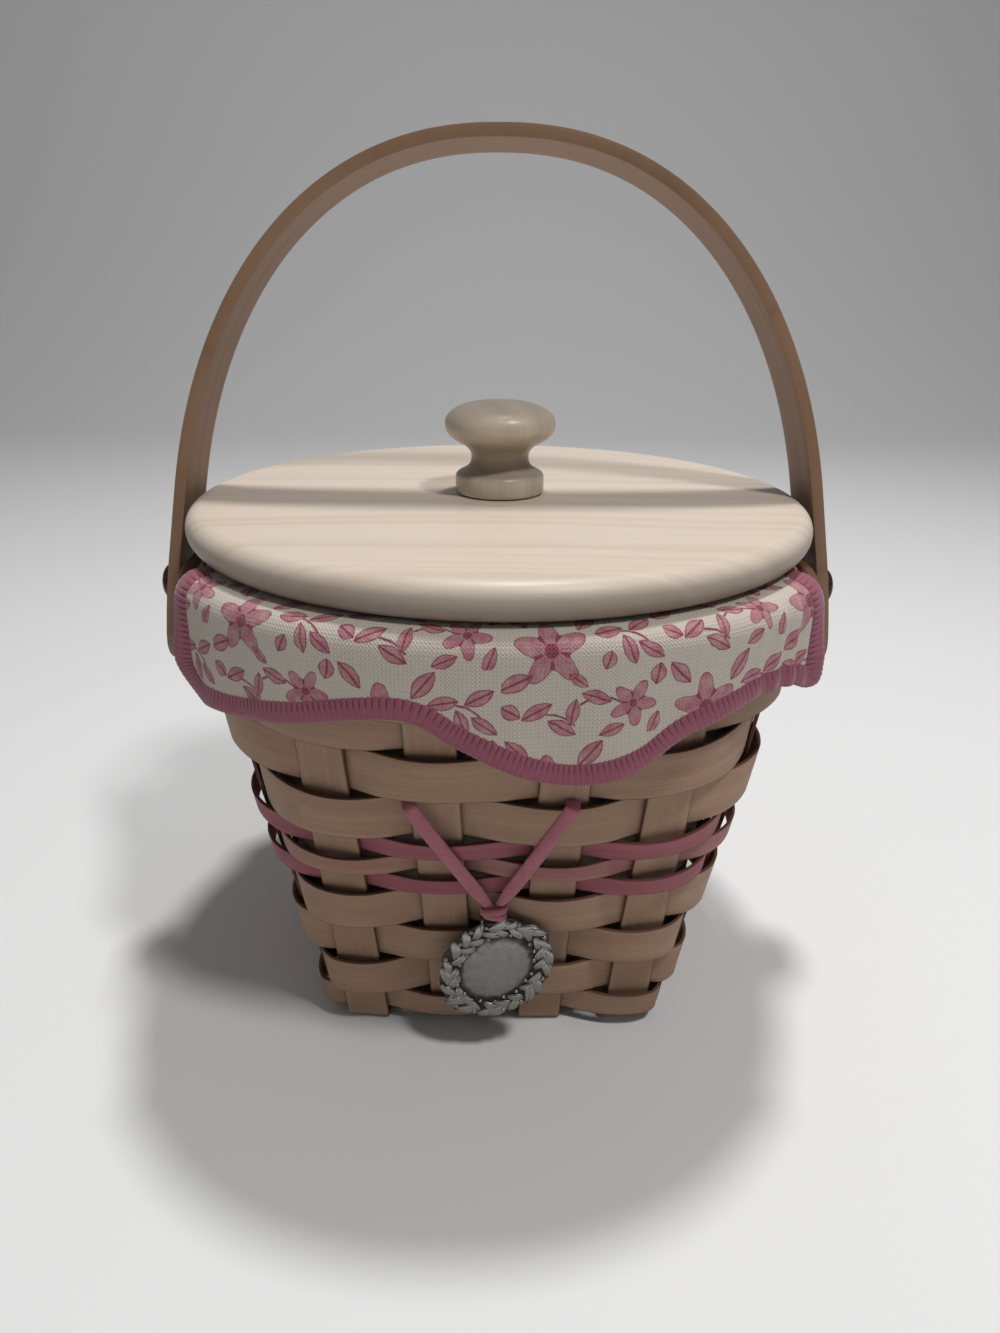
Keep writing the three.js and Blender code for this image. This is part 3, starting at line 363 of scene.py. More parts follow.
# A shader value, whose arithmetic adds Math nodes
class Wire:
    def __init__(self, finish, socket):
        self.finish = finish
        self.socket = socket

    def math(self, operation, first, second=0.0):
        return self.finish.node("ShaderNodeMath", {"operation": operation}, {0: first, 1: second})

    def __add__(self, other):
        return self.math("ADD", self, other)

    def __radd__(self, other):
        return self.math("ADD", other, self)

    def __sub__(self, other):
        return self.math("SUBTRACT", self, other)

    def __rsub__(self, other):
        return self.math("SUBTRACT", other, self)

    def __mul__(self, other):
        return self.math("MULTIPLY", self, other)

    def __rmul__(self, other):
        return self.math("MULTIPLY", other, self)

    def __truediv__(self, other):
        return self.math("DIVIDE", self, other)

    def __rtruediv__(self, other):
        return self.math("DIVIDE", other, self)

    def __pow__(self, other):
        return self.math("POWER", self, other)

    def __abs__(self):
        return self.math("ABSOLUTE", self)

    def wave(self):
        return self.math("SINE", self)

    def cosine(self):
        return self.math("COSINE", self)

    def root(self):
        return self.math("SQRT", self)

    def floor(self):
        return self.math("FLOOR", self)

    def remainder(self):
        return self.math("FRACT", self)

    def angle_to(self, across):
        return self.math("ARCTAN2", self, across)

    def most(self, other):
        return self.math("MAXIMUM", self, other)

    def least(self, other):
        return self.math("MINIMUM", self, other)

    def step(self, low, high):
        settings = {"interpolation_type": "SMOOTHSTEP"}
        return self.finish.node("ShaderNodeMapRange", settings, {0: self, 1: low, 2: high})


# A procedural material
class Finish:
    def __init__(self, name):
        self.material = bpy.data.materials.new(name)
        self.material.use_nodes = True
        self.tree = self.material.node_tree
        self.shader = self.tree.nodes["Principled BSDF"]

    def put(self, node, key, value):
        if isinstance(value, Wire):
            self.tree.links.new(value.socket, node.inputs[key])
        else:
            node.inputs[key].default_value = value

    def node(self, kind, settings=None, inputs=None, output=0):
        made = self.tree.nodes.new(kind)
        for key, value in (settings or {}).items():
            setattr(made, key, value)
        for key, value in (inputs or {}).items():
            self.put(made, key, value)
        return Wire(self, made.outputs[output])

    def shade(self, values):
        for key, value in values.items():
            self.put(self.shader, key, value)

    def parts(self, vector):
        split = self.node("ShaderNodeSeparateXYZ", None, {0: vector})
        outputs = split.socket.node.outputs
        return [Wire(self, outputs[axis]) for axis in range(3)]

    def flat(self, layer="flat"):
        return self.parts(self.node("ShaderNodeUVMap", {"uv_map": layer}))

    def place(self):
        return self.parts(self.node("ShaderNodeTexCoord", None, None, "Object"))

    def noise(self, x, y, z, detail=3.0, roughness=0.55):
        at = self.node("ShaderNodeCombineXYZ", None, {0: x, 1: y, 2: z})
        values = {"Vector": at, "Scale": 1.0, "Detail": detail, "Roughness": roughness}
        return self.node("ShaderNodeTexNoise", None, values)

    def blend(self, share, first, second):
        return self.node("ShaderNodeMix", {"data_type": "RGBA"}, {0: share, 6: first, 7: second}, 2)

    def bump(self, height, distance, strength):
        self.shade({"Normal": self.node(
            "ShaderNodeBump", None, {"Strength": strength, "Distance": distance, "Height": height})})


# Thin split wood: faint grain along its length, mottled stain, and dark cut edges
def splint_finish(name, width, base, dark, seed, right_base=None):
    finish = Finish(name)
    along, across, _ = finish.flat()
    _, share, _ = finish.flat("share")
    x, _, _ = finish.place()
    fine = finish.noise(along * 60, across * 2600, seed, 4.0, 0.6)
    broad = finish.noise(along * 9, across * 330, seed + 7.3, 2.0)
    patch = finish.noise(along * 38, across * 70, seed + 3.1, 3.0)
    speck = finish.noise(along * 900, across * 1500, seed + 5.9, 2.0)
    pores = finish.noise(along * 160, across * 5200, seed + 11.7, 1.0).step(0.62, 0.72)
    edge = (share.least(1 - share) * width).step(0.45, 0.1)
    light = tint(base, 1.3)
    tone = base
    if right_base:
        tone = finish.blend((x + (patch - 0.5) * 0.03).step(-0.03, 0.02), base, right_base)
    tone = finish.blend(fine.step(0.35, 0.75) * 0.22 + broad.step(0.35, 0.7) * 0.16, tone, dark)
    tone = finish.blend(patch.step(0.4, 0.75) * 0.26 + speck.step(0.45, 0.7) * 0.12, tone, dark)
    tone = finish.blend(broad.step(0.5, 0.3) * 0.16 + speck.step(0.5, 0.3) * 0.1, tone, light)
    tone = finish.blend(pores * 0.14, tone, dark)
    tone = finish.blend(edge * 0.85, tone, CUT_EDGE)
    finish.shade({
        "Base Color": tone, "Roughness": 0.56 + fine * 0.2, "Specular IOR Level": 0.3,
    })
    finish.bump(fine * 0.5 + speck * 0.3 - pores * 0.3, 0.00018, 0.5)
    return finish.material


# Steamed and bent wood of the handle
def bent_finish(name, base, dark, seed):
    finish = Finish(name)
    along, across, _ = finish.flat()
    fine = finish.noise(along * 30, across * 2300, seed, 4.0, 0.62)
    broad = finish.noise(along * 5, across * 260, seed + 5.5, 3.0)
    pores = finish.noise(along * 90, across * 4200, seed + 9.1, 1.0).step(0.6, 0.7)
    tone = finish.blend(fine.step(0.3, 0.75) * 0.45 + broad.step(0.35, 0.7) * 0.4, base, dark)
    tone = finish.blend(pores * 0.4, tone, dark)
    finish.shade({"Base Color": tone, "Roughness": 0.42 + fine * 0.2, "Specular IOR Level": 0.4})
    finish.bump(fine - pores * 0.5, 0.0002, 0.5)
    return finish.material


# Sanded pale wood of the lid, knob and spacers: grain along one axis, and painted shade between two heights
def pale_finish(name, upright, base, dark, seed, gloss, painted_shade, low, high):
    finish = Finish(name)
    x, y, z = finish.place()
    along, side, depth = (z, x, y) if upright else (x, y, z)
    drift = finish.noise(along * 6, side * 9, depth * 9, 2.0) - 0.5
    ring = side * 95 + depth * 40 + drift * 2.6 + seed
    late = finish.noise(along * 2.2, ring * 2.0, seed, 3.0, 0.6)
    fine = finish.noise(along * 32, side * 2100, depth * 2100 + seed, 3.0, 0.6)
    flecks = finish.noise(along * 130, side * 2600, depth * 2600 + seed, 1.0).step(0.64, 0.72)
    tone = finish.blend(late.step(0.42, 0.7) * 0.5 + fine.step(0.35, 0.75) * 0.22, base, dark)
    tone = finish.blend(flecks * 0.28, tone, dark)
    # Painted shade: darker between the two heights, fading out below the upper one
    band = z.step(low * MM, (low + 2) * MM) * z.step(high * MM, (high - 6) * MM)
    tone = finish.blend(band * 0.75, tone, painted_shade)
    finish.shade({
        "Base Color": tone, "Roughness": 0.4 + fine * 0.16, "Specular IOR Level": 0.4,
        "Coat Weight": gloss, "Coat Roughness": mix(0.4, 0.15, gloss),
    })
    finish.bump(fine * 0.7 + late * 0.3, 0.00012, 0.4)
    return finish.material


# Masks of the print, each in millimetres about its own middle
def turned_about(x, y, middle, angle):
    across = x - middle[0]
    up = y - middle[1]
    cos, sin = math.cos(angle), math.sin(angle)
    return across * cos + up * sin, up * cos - across * sin


def leaf_masks(x, y, middle, angle, length, width):
    along, side = turned_about(x, y, middle, angle)
    reach = along / (length / 2)
    spread = abs(side / (width / 2))
    body = (1 - reach * reach - spread).step(0, 0.16)
    rib = (0.16 - spread).step(0, 0.08) * body
    rim = (0.3 - (1 - reach * reach - spread)).step(0, 0.12) * body
    return body, rib.most(rim * 0.8)


def flower_masks(x, y, middle, radius, turn):
    across, up = turned_about(x, y, middle, turn)
    far = (across * across + up * up).root()
    petals = (up.angle_to(across) * 5).cosine()
    edge = petals * 0.24 * radius + 0.74 * radius
    body = (edge - far).step(0, 0.35)
    rim = (0.75 - (edge - far)).step(0, 0.6) * body
    vein = ((up.angle_to(across) * 25).cosine()).step(0.55, 1) * (far / radius).step(0.75, 0.2) * body
    gap = (-0.62 - petals).step(0, 0.3) * (far / radius).step(0.15, 0.3) * body
    heart = (radius * 0.2 - far).step(0, 0.3)
    return body, rim.most(vein * 0.7).most(gap).most(heart)


def stem_mask(x, y, middle, radius, start, end, width):
    across = x - middle[0]
    up = y - middle[1]
    far = (across * across + up * up).root()
    line = (width / 2 - abs(far - radius)).step(0, 0.25)
    facing = turned_about(x, y, middle, (start + end) / 2)
    turn = abs(facing[1].angle_to(facing[0]))
    return line * ((end - start) / 2 - turn).step(0, 0.05)


# Cotton canvas printed with small five-petal flowers, sprigs and buds in a half-drop repeat
def printed_finish(name):
    finish = Finish(name)
    along, down, _ = finish.flat()
    wobble = finish.noise(along * 300, down * 300, 2.0, 2.0) - 0.5
    across = along * 1000 + wobble * 0.9
    drop = down * 1000 + wobble * 0.7
    column = (across / TILE_WIDTH).floor()
    shifted = drop + (column * 0.5).remainder() * TILE_HEIGHT
    x = (across / TILE_WIDTH).remainder() * TILE_WIDTH - TILE_WIDTH / 2
    y = (shifted / TILE_HEIGHT).remainder() * TILE_HEIGHT - TILE_HEIGHT / 2
    wash = None
    ink = None
    shapes = [leaf_masks(x, y, *leaf) for leaf in LEAVES + BUDS]
    shapes += [flower_masks(x, y, *flower) for flower in FLOWERS]
    for body, lines in shapes:
        wash = body if wash is None else wash.most(body)
        ink = lines if ink is None else ink.most(lines)
    for stem in STEMS:
        ink = ink.most(stem_mask(x, y, *stem) * (1 - wash))
    blotch = finish.noise(along * 420, down * 420, 5.0, 3.0)
    warp = (along * (math.tau / (CANVAS_PITCH * MM))).wave()
    weft = (down * (math.tau / (CANVAS_PITCH * MM))).wave()
    slub = finish.noise(along * 90, down * 2400, 8.0, 2.0) + finish.noise(along * 2400, down * 90, 4.0, 2.0)
    weave = warp * weft * 0.5 + warp * 0.2 + weft * 0.2
    cream = finish.blend(slub.step(0.8, 1.3) * 0.3, CREAM, tint(CREAM, 0.8))
    tone = finish.blend(wash * (0.2 + blotch * 1.15).least(1), cream, PRINT_WASH)
    tone = finish.blend((ink * (0.55 + blotch * 0.8)).least(1), tone, PRINT_INK)
    tone = finish.blend(weave.step(0.1, -0.7) * 0.5, tone, tint(CREAM, 0.45))
    finish.shade({
        "Base Color": tone, "Roughness": 0.86, "Specular IOR Level": 0.2,
        "Sheen Weight": 0.15, "Sheen Roughness": 0.5,
    })
    finish.bump(weave + slub * 0.7, 0.00016, 0.7)
    return finish.material


# Unprinted reverse of the canvas, seen only through the weave, coloured as dark painted shade for the weave's
# gaps rather than as the canvas's own cream
def painted_shade_reverse_finish(name):
    finish = Finish(name)
    along, down, _ = finish.flat()
    slub = finish.noise(along * 300, down * 900, 3.0, 2.0)
    painted_shade = tint(REVERSE_PAINTED_SHADE, 0.7)
    finish.shade({"Base Color": finish.blend(slub.step(0.3, 0.7), REVERSE_PAINTED_SHADE, painted_shade), "Roughness": 0.95})
    return finish.material


# Overlock stitching: ridges of thread across the edge, with painted shade in the slots between them
def thread_finish(name):
    finish = Finish(name)
    along, across, _ = finish.flat()
    phase = (along * (1 / (STITCH_PITCH * MM))).remainder()
    ridge = 1 - abs(phase * 2 - 1) ** 2
    strand = finish.noise(along * 5200, across * 500, 1.0, 2.0)
    patch = finish.noise(along * 120, across * 100, 6.0, 2.0)
    inner = across.step(0.5 * EDGING_LOOK * MM, 0.68 * EDGING_LOOK * MM)
    # Painted shade in the slots between the ridges, strongest on the side towards the cloth where the edging
    # is thinnest
    tone = finish.blend(ridge.step(0.6, 0.05) * (0.18 + inner * 0.8), THREAD, THREAD_DARK_AND_SLOT_SHADE)
    tone = finish.blend(strand.step(0.4, 0.7) * 0.35, tone, THREAD_DARK_AND_SLOT_SHADE)
    tone = finish.blend(patch.step(0.5, 0.8) * 0.3, tone, tint(THREAD, 1.35))
    finish.shade({"Base Color": tone, "Roughness": 0.6 + strand * 0.2, "Sheen Weight": 0.2})
    finish.bump(strand, 0.0001, 0.6)
    return finish.material


# Flat soft lace with a lengthwise nap
def lace_finish(name):
    finish = Finish(name)
    along, across, _ = finish.flat()
    nap = finish.noise(along * 700, across * 3600, 1.0, 3.0)
    patch = finish.noise(along * 140, across * 300, 3.0, 2.0)
    tone = finish.blend(nap.step(0.35, 0.7) * 0.5, LACE, LACE_DARK)
    tone = finish.blend(patch.step(0.45, 0.75) * 0.35, tone, tint(LACE, 1.4))
    finish.shade({"Base Color": tone, "Roughness": 0.55 + nap * 0.2, "Sheen Weight": 0.3})
    finish.bump(nap, 0.00015, 0.6)
    return finish.material


# Metal with a second tone in soft clouds
def metal_finish(name, base, other, low, high, roughness, scale):
    finish = Finish(name)
    x, y, z = finish.place()
    cloud = finish.noise(x * scale, y * scale, z * scale, 4.0)
    speck = finish.noise(x * scale * 6, y * scale * 6, z * scale * 6, 2.0)
    tone = finish.blend(cloud.step(low, high), base, other)
    finish.shade({"Base Color": tone, "Metallic": 0.9, "Roughness": roughness + speck * 0.18})
    finish.bump(speck, 0.00005, 0.4)
    return finish.material


# Pewter, dark in the hollows by the depth kept on the mesh
def pewter_finish(name):
    finish = Finish(name)
    x, y, z = finish.place()
    depth = finish.node("ShaderNodeAttribute", {"attribute_name": "hollow"}, None, "Fac")
    cloud = finish.noise(x * 420, y * 420, z * 420, 4.0)
    scratch = finish.noise(x * 900, y * 900, z * 5200, 2.0)
    dark = (depth + (cloud - 0.5) * 0.6).step(0.2, 0.95)
    tone = finish.blend(dark, PEWTER, PEWTER_DARK)
    finish.shade({
        "Base Color": tone, "Metallic": 0.95 - dark * 0.35, "Roughness": 0.2 + cloud * 0.14 + dark * 0.35,
    })
    finish.bump(cloud * 0.6 + scratch * 0.4, 0.00006, 0.5)
    return finish.material


# A mesh with its doubled points merged and its faces turned outwards
def welded(made, distance=WELD):
    bmesh.ops.remove_doubles(made, verts=made.verts, dist=distance)
    bmesh.ops.recalc_face_normals(made, faces=made.faces)
    return made


# A grid of quads laid out by place(i, j), which gives a point and its flat place, in millimetres
def surface(columns, rows, place):
    made = bmesh.new()
    bmesh.ops.create_grid(made, x_segments=columns, y_segments=rows, size=0.5)
    flat = made.loops.layers.uv.new("flat")
    share = made.loops.layers.uv.new("share")
    spots = {}
    for vert in made.verts:
        i = round((vert.co.x + 0.5) * columns)
        j = round((vert.co.y + 0.5) * rows)
        spots[vert] = (i, j, *place(i, j))
    for face in made.faces:
        for loop in face.loops:
            i, j, _, along, across = spots[loop.vert]
            loop[flat].uv = (along * MM, across * MM)
            loop[share].uv = (i / columns, j / rows)
    for vert, (_, _, point, _, _) in spots.items():
        vert.co = point * MM
    return made


# A closed tube whose rows go round each section and whose columns go along it
def tube(columns, rows, place):
    made = surface(columns, rows, place)
    bmesh.ops.remove_doubles(made, verts=made.verts, dist=WELD)
    open_edges = [edge for edge in made.edges if edge.is_boundary]
    bmesh.ops.holes_fill(made, edges=open_edges, sides=0)
    bmesh.ops.recalc_face_normals(made, faces=made.faces)
    return made


# A solid turned about the Z axis from radius and height
def turned(outline, steps):
    made = bmesh.new()
    verts = [made.verts.new((radius * MM, 0, height * MM)) for radius, height in outline]
    edges = [made.edges.new(pair) for pair in zip(verts, verts[1:])]
    bmesh.ops.spin(
        made, geom=verts + edges, cent=(0, 0, 0), axis=(0, 0, 1), steps=steps,
        angle=math.tau, use_merge=True)
    return welded(made)


# One mesh from several
def joined(parts):
    made = parts[0]
    for other in parts[1:]:
        holder = bpy.data.meshes.new("holder")
        other.to_mesh(holder)
        other.free()
        made.from_mesh(holder)
        bpy.data.meshes.remove(holder)
    return made


# A piece of the basket from its mesh, on its body, standing for its solids
def piece(name, made, material, body, nodes=(), thickness=0, edge=0, sharp=None, inside=None):
    data = bpy.data.meshes.new(name)
    made.to_mesh(data)
    made.free()
    data.shade_smooth()
    if sharp is not None:
        data.set_sharp_from_angle(angle=math.radians(sharp))
    data.materials.append(material)
    thing = bpy.data.objects.new(name, data)
    bpy.context.scene.collection.objects.link(thing)
    if thickness:
        solid = thing.modifiers.new("thickness", "SOLIDIFY")
        solid.thickness = thickness * MM
        solid.offset = 0
        solid.use_even_offset = True
        if inside:
            data.materials.append(inside)
            solid.material_offset = 1
    if edge:
        rounded = thing.modifiers.new("rounded_edges", "BEVEL")
        rounded.width = edge * MM
        rounded.segments = EDGE_SEGMENTS
        rounded.limit_method = "ANGLE"
        rounded.angle_limit = EDGE_ANGLE
    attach(thing, body)
    if nodes:
        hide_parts(*nodes)
    return thing


# Half width of the wall's middle surface at a height
def wall_half(height):
    t = height / RIM_HEIGHT
    if t >= 1:
        return RIM_HALF + LEAN_AT_RIM * (height - RIM_HEIGHT)
    rise = 3 * t * t - 2 * t ** 3
    start = (t ** 3 - 2 * t * t + t) * LEAN_AT_BASE * RIM_HEIGHT
    end = (t ** 3 - t * t) * LEAN_AT_RIM * RIM_HEIGHT
    return mix(BASE_HALF, RIM_HALF, rise) + start + end


def squareness(height):
    t = clamp(height / RIVET_HEIGHT)
    return 1 / mix(1 / SQUARE_AT_BASE, 1 / SQUARE_AT_RIM, t ** ROUNDING_RATE)


# Point and outward normal of a squared circle in a direction
def section_at(angle, half, power):
    cos, sin = math.cos(angle), math.sin(angle)
    radius = half / (abs(cos) ** power + abs(sin) ** power) ** (1 / power)
    point = Vector((radius * cos, radius * sin, 0))
    normal = Vector((
        math.copysign(abs(point.x / half) ** (power - 1), cos),
        math.copysign(abs(point.y / half) ** (power - 1), sin), 0)).normalized()
    return point, normal


def side_angle(side, across, half, power):
    away = half * (1 - min(abs(across / half), 1) ** power) ** (1 / power)
    return math.atan2(-away, across) + side * math.pi / 2


def stake_offset(stake, height):
    t = height / RIM_HEIGHT
    sign = -1 if stake < 2 else 1
    is_outer = stake in (0, 3)
    foot = (1.5 if is_outer else 0.5) * BASE_PITCH
    return sign * mix(foot, RIM_HALF * (RIM_OUTER_SHARE if is_outer else RIM_INNER_SHARE), t)


# Stations round a weaver: side, stake, kind of place, how far through it, and its lift there
def weaver_stations(parity):
    stations = []
    for side in range(4):
        for stake in range(4):
            lift = 1 if (side * 4 + stake) % 2 == parity else -1
            for step in range(STAKE_STEPS + 1):
                t = step / STAKE_STEPS
                phase = mix(-STAKE_EDGE_PHASE, STAKE_EDGE_PHASE, t)
                stations.append((side, stake, "stake", t, lift * math.cos(phase)))
            count = CORNER_STEPS if stake == 3 else GAP_STEPS
            kind = "corner" if stake == 3 else "gap"
            for step in range(1, count):
                t = step / count
                phase = mix(STAKE_EDGE_PHASE, math.pi - STAKE_EDGE_PHASE, t)
                stations.append((side, stake, kind, t, lift * math.cos(phase)))
    return stations + stations[:1]


def weaver_place(station, height, middle_height, is_rim):
    side, stake, kind, t, lift = station
    half = wall_half(height) if is_rim else mix(wall_half(height), wall_half(middle_height), ROW_UPRIGHT)
    power = squareness(height)
    middle = stake_offset(stake, height)
    reach = STAKE_WIDTH / 2
    if kind == "stake":
        angle = side_angle(side, middle + mix(-reach, reach, t), half, power)
    elif kind == "gap":
        angle = side_angle(side, mix(middle + reach, stake_offset(stake + 1, height) - reach, t), half, power)
    else:
        start = side_angle(side, middle + reach, half, power)
        end = side_angle(side + 1, stake_offset(0, height) - reach, half, power)
        angle = mix(start, start + (end - start) % math.tau, t)
    point, normal = section_at(angle, half, power)
    out = lift * RIM_ROW_LIFT if is_rim else mix(-ROW_IN, ROW_OUT, (1 + lift) / 2)
    return point + normal * out, angle


# Gentle rise and fall of the rows round the basket
def row_sway(angle, height):
    amount = ROW_SWAY * ease((height - SWAY_START) / 20) * ease((SWAY_END - height) / 14)
    return amount * (0.6 * math.sin(3 * angle + height * 0.03) + 0.4 * math.sin(7 * angle + 1.3))


def weaver(row):
    bottom, tall = ROW_BOTTOMS[row], ROW_HEIGHTS[row]
    stations = weaver_stations((row + 1) % 2)
    rows = 6
    middle = bottom + tall / 2
    is_rim = row >= FIRST_RIM_ROW
    lengths = running_lengths([weaver_place(station, middle, middle, is_rim)[0] for station in stations])

    def place(i, j):
        trim = ROW_TRIM * abs(stations[i][4])
        height = bottom + mix(trim, tall - trim, j / rows)
        point, angle = weaver_place(stations[i], height, middle, is_rim)
        point.z = height + row_sway(angle, height)
        return point, lengths[i], tall * j / rows

    return welded(surface(len(stations) - 1, rows, place))


# Line of an upright from the rim down the front, under the base and up the back: its two edges
def stake_stations(stake):
    step = STAKE_THICKNESS + CLEAR
    levels = [STAKE_THICKNESS / 2 + ((stake + crossing) % 2) * step for crossing in range(4)]
    heights = [height for bottom in ROW_BOTTOMS for height in (bottom, bottom + UPRIGHT_STEP)] + [RIM_HEIGHT]

    def above_bend(level):
        return [height for height in heights if height > level + BEND_RADIUS + 1]

    middle = stake_offset(stake, 0)
    reach = STAKE_WIDTH / 2

    def on_wall(height, flip):
        half, power = wall_half(height), squareness(height)
        offset = stake_offset(stake, height)
        angles = [side_angle(0, offset + side * reach, half, power) for side in (-1, 1)]
        ends = [section_at(angle, half, power)[0] for angle in angles]
        return [Vector((end.x, flip * end.y, height)) for end in ends]

    def in_bend(level, angle, flip):
        height = level + BEND_RADIUS
        half, power = wall_half(height), squareness(height)
        ends = []
        for side in (-1, 1):
            across = middle + side * reach
            edge = section_at(side_angle(0, across, half, power), half, power)[0]
            y = edge.y + BEND_RADIUS - BEND_RADIUS * math.cos(angle)
            ends.append(Vector((across, flip * y, height - BEND_RADIUS * math.sin(angle))))
        return ends

    bends = [math.radians(angle) for angle in range(0, 91, 15)]
    line = [on_wall(height, 1) for height in reversed(above_bend(levels[0]))]
    line += [in_bend(levels[0], angle, 1) for angle in bends]
    grip = reach + 2 * CLEAR
    for crossing, level in enumerate(levels):
        y = (crossing - 1.5) * BASE_PITCH
        for at in (y - grip, y, y + grip):
            line.append([Vector((middle + side * reach, at, level)) for side in (-1, 1)])
        if crossing < 3:
            after = levels[crossing + 1]
            for t in (0.25, 0.5, 0.75):
                at = mix(y + grip, y + BASE_PITCH - grip, t)
                z = mix(level, after, ease(t))
                line.append([Vector((middle + side * reach, at, z)) for side in (-1, 1)])
    line += [in_bend(levels[3], angle, -1) for angle in reversed(bends)]
    line += [on_wall(height, -1) for height in above_bend(levels[3])]
    return line


def upright(stake, is_across):
    line = stake_stations(stake)
    columns = 4
    lengths = running_lengths([(left + right) / 2 for left, right in line])

    def place(i, j):
        point = line[i][0].lerp(line[i][1], j / columns)
        return point, lengths[i], STAKE_WIDTH * j / columns

    made = surface(len(line) - 1, columns, place)
    if is_across:
        bmesh.ops.rotate(made, verts=made.verts, cent=(0, 0, 0), matrix=Matrix.Rotation(math.pi / 2, 3, "Z"))
    return made


def outer_hoop_half(height):
    return RIM_HALF + WEAVE_HALF + CLEAR + OUTER_HOOP_THICKNESS - OUTER_HOOP_LEAN * (RIM_HEIGHT - height)


def inner_hoop_half(height):
    return wall_half(INNER_HOOP_FOOT) - WEAVE_HALF - CLEAR + INNER_HOOP_LEAN * (height - INNER_HOOP_FOOT)


def hoop(half_at, thickness, foot, top):
    columns, rows = 144, 5

    def place(i, j):
        height = mix(foot, top, j / rows)
        half = half_at(height) - thickness / 2
        point, _ = section_at(i / columns * math.tau, half, SQUARE_AT_RIM)
        point.z = height
        return point, half * i / columns * math.tau, height - foot

    return welded(surface(columns, rows, place))


def handle_share(height):
    t = max(height - HANDLE_SPRING, 0) / HANDLE_ARCH
    return (1 - t ** HANDLE_SQUARENESS) ** (1 / HANDLE_SQUARENESS)


# How far the legs of the handle have spread outwards at a height, on their way down to their ends
def handle_splay(height):
    down = max(RIM_HEIGHT + HANDLE_SPLAY_RISE - height, 0)
    bent = min(down, HANDLE_SPLAY_BEND)
    return HANDLE_SPLAY * (bent * bent / (2 * HANDLE_SPLAY_BEND) + down - bent)


SPACER_IN = outer_hoop_half(RIVET_HEIGHT + SPACER_RADIUS) + CLEAR
SPACER_OUT = SPACER_IN + SPACER_THICKNESS
SPACER_TOP = RIVET_HEIGHT + SPACER_RADIUS
STRAP_OUT_AT_SPACER = SPACER_OUT + CLEAR + HANDLE_THICKNESS
HANDLE_HALF_SPAN = (STRAP_OUT_AT_SPACER - handle_splay(SPACER_TOP)) / handle_share(SPACER_TOP)


# Middle line of the strap from the left tail over the arch to the right tail
def handle_line():
    steps = 120
    span = HANDLE_HALF_SPAN - HANDLE_THICKNESS / 2
    arch = HANDLE_ARCH - HANDLE_THICKNESS / 2
    power = 2 / HANDLE_SQUARENESS
    tail = RIVET_HEIGHT - HANDLE_TAIL
    rises = (*HANDLE_TIP_RISES, HANDLE_WIDTH / 2)
    half = [Vector((-span - handle_splay(tail + up), 0, tail + up)) for up in rises]
    for i in range(steps // 2 + 1):
        angle = i / steps * math.pi
        z = HANDLE_SPRING + arch * math.sin(angle) ** power
        x = -span * max(math.cos(angle), 0) ** power - handle_splay(z) if i < steps // 2 else 0
        if z > tail + HANDLE_WIDTH / 2 + 1:
            half.append(Vector((x, 0, z)))
    return half + [Vector((-spot.x, 0, spot.z)) for spot in reversed(half[:-1])]


def handle():
    line = handle_line()
    columns = 8
    tail = RIVET_HEIGHT - HANDLE_TAIL
    lengths = running_lengths(line)

    def place(i, j):
        short = max(HANDLE_WIDTH / 2 - (line[i].z - tail), 0)
        wide = math.sqrt((HANDLE_WIDTH / 2) ** 2 - short ** 2)
        y = mix(-wide, wide, j / columns)
        return line[i] + Vector((0, y, 0)), lengths[i], y

    made = surface(len(line) - 1, columns, place)
    bmesh.ops.rotate(
        made, verts=made.verts, cent=(0, 0, RIVET_HEIGHT * MM), matrix=Matrix.Rotation(-HANDLE_LEAN, 3, "X"))
    return made


# Turned pieces on the rivets' axis, moved from Z to one side of the basket
def on_side(made, side):
    turn = Matrix.Rotation(side * math.pi / 2, 3, "Y")
    bmesh.ops.rotate(made, verts=made.verts, cent=(0, 0, 0), matrix=turn)
    bmesh.ops.translate(made, verts=made.verts, vec=(0, 0, RIVET_HEIGHT * MM))
    return made


BURR_OUT = inner_hoop_half(RIVET_HEIGHT - BURR_RADIUS) - INNER_HOOP_THICKNESS - CLEAR
BURR_IN = BURR_OUT - BURR_THICKNESS
RIVET_INNER_END = BURR_IN - CLEAR - RIVET_PEEN_HEIGHT


def curve(start, first, second, end, steps):
    points = []
    for step in range(1, steps + 1):
        t = step / steps
        weights = ((1 - t) ** 3, 3 * t * (1 - t) ** 2, 3 * t * t * (1 - t), t ** 3)
        corners = (start, first, second, end)
        points.append(tuple(sum(w * c[axis] for w, c in zip(weights, corners)) for axis in (0, 1)))
    return points


def rivet():
    peen_out = BURR_IN - CLEAR
    head_foot = RIVET_HEIGHT - RIVET_HEAD_RADIUS
    head_in = HANDLE_HALF_SPAN * handle_share(head_foot) + handle_splay(head_foot) + CLEAR
    dome = head_in + RIVET_HEAD_HEIGHT
    outline = [
        (0, RIVET_INNER_END), (RIVET_PEEN_RADIUS * 0.7, RIVET_INNER_END + 0.15),
        (RIVET_PEEN_RADIUS, peen_out - RIVET_PEEN_HEIGHT / 2), (RIVET_PEEN_RADIUS, peen_out),
        (RIVET_RADIUS, peen_out), (RIVET_RADIUS, head_in), (RIVET_HEAD_RADIUS - RIVET_EDGE, head_in),
        (RIVET_HEAD_RADIUS, head_in + RIVET_EDGE), (RIVET_HEAD_RADIUS, head_in + RIVET_LIP),
    ]
    brow = (RIVET_HEAD_RADIUS, mix(head_in, dome, 0.7))
    outline += curve(outline[-1], brow, (RIVET_HEAD_RADIUS / 2, dome), (0, dome), 10)
    return turned(outline, 40)


def washer(inner, outer, low, high, edge):
    return turned([
        (inner, low), (outer - edge, low), (outer, low + edge), (outer, high - edge), (outer - edge, high),
        (inner, high), (inner, low)], 48)


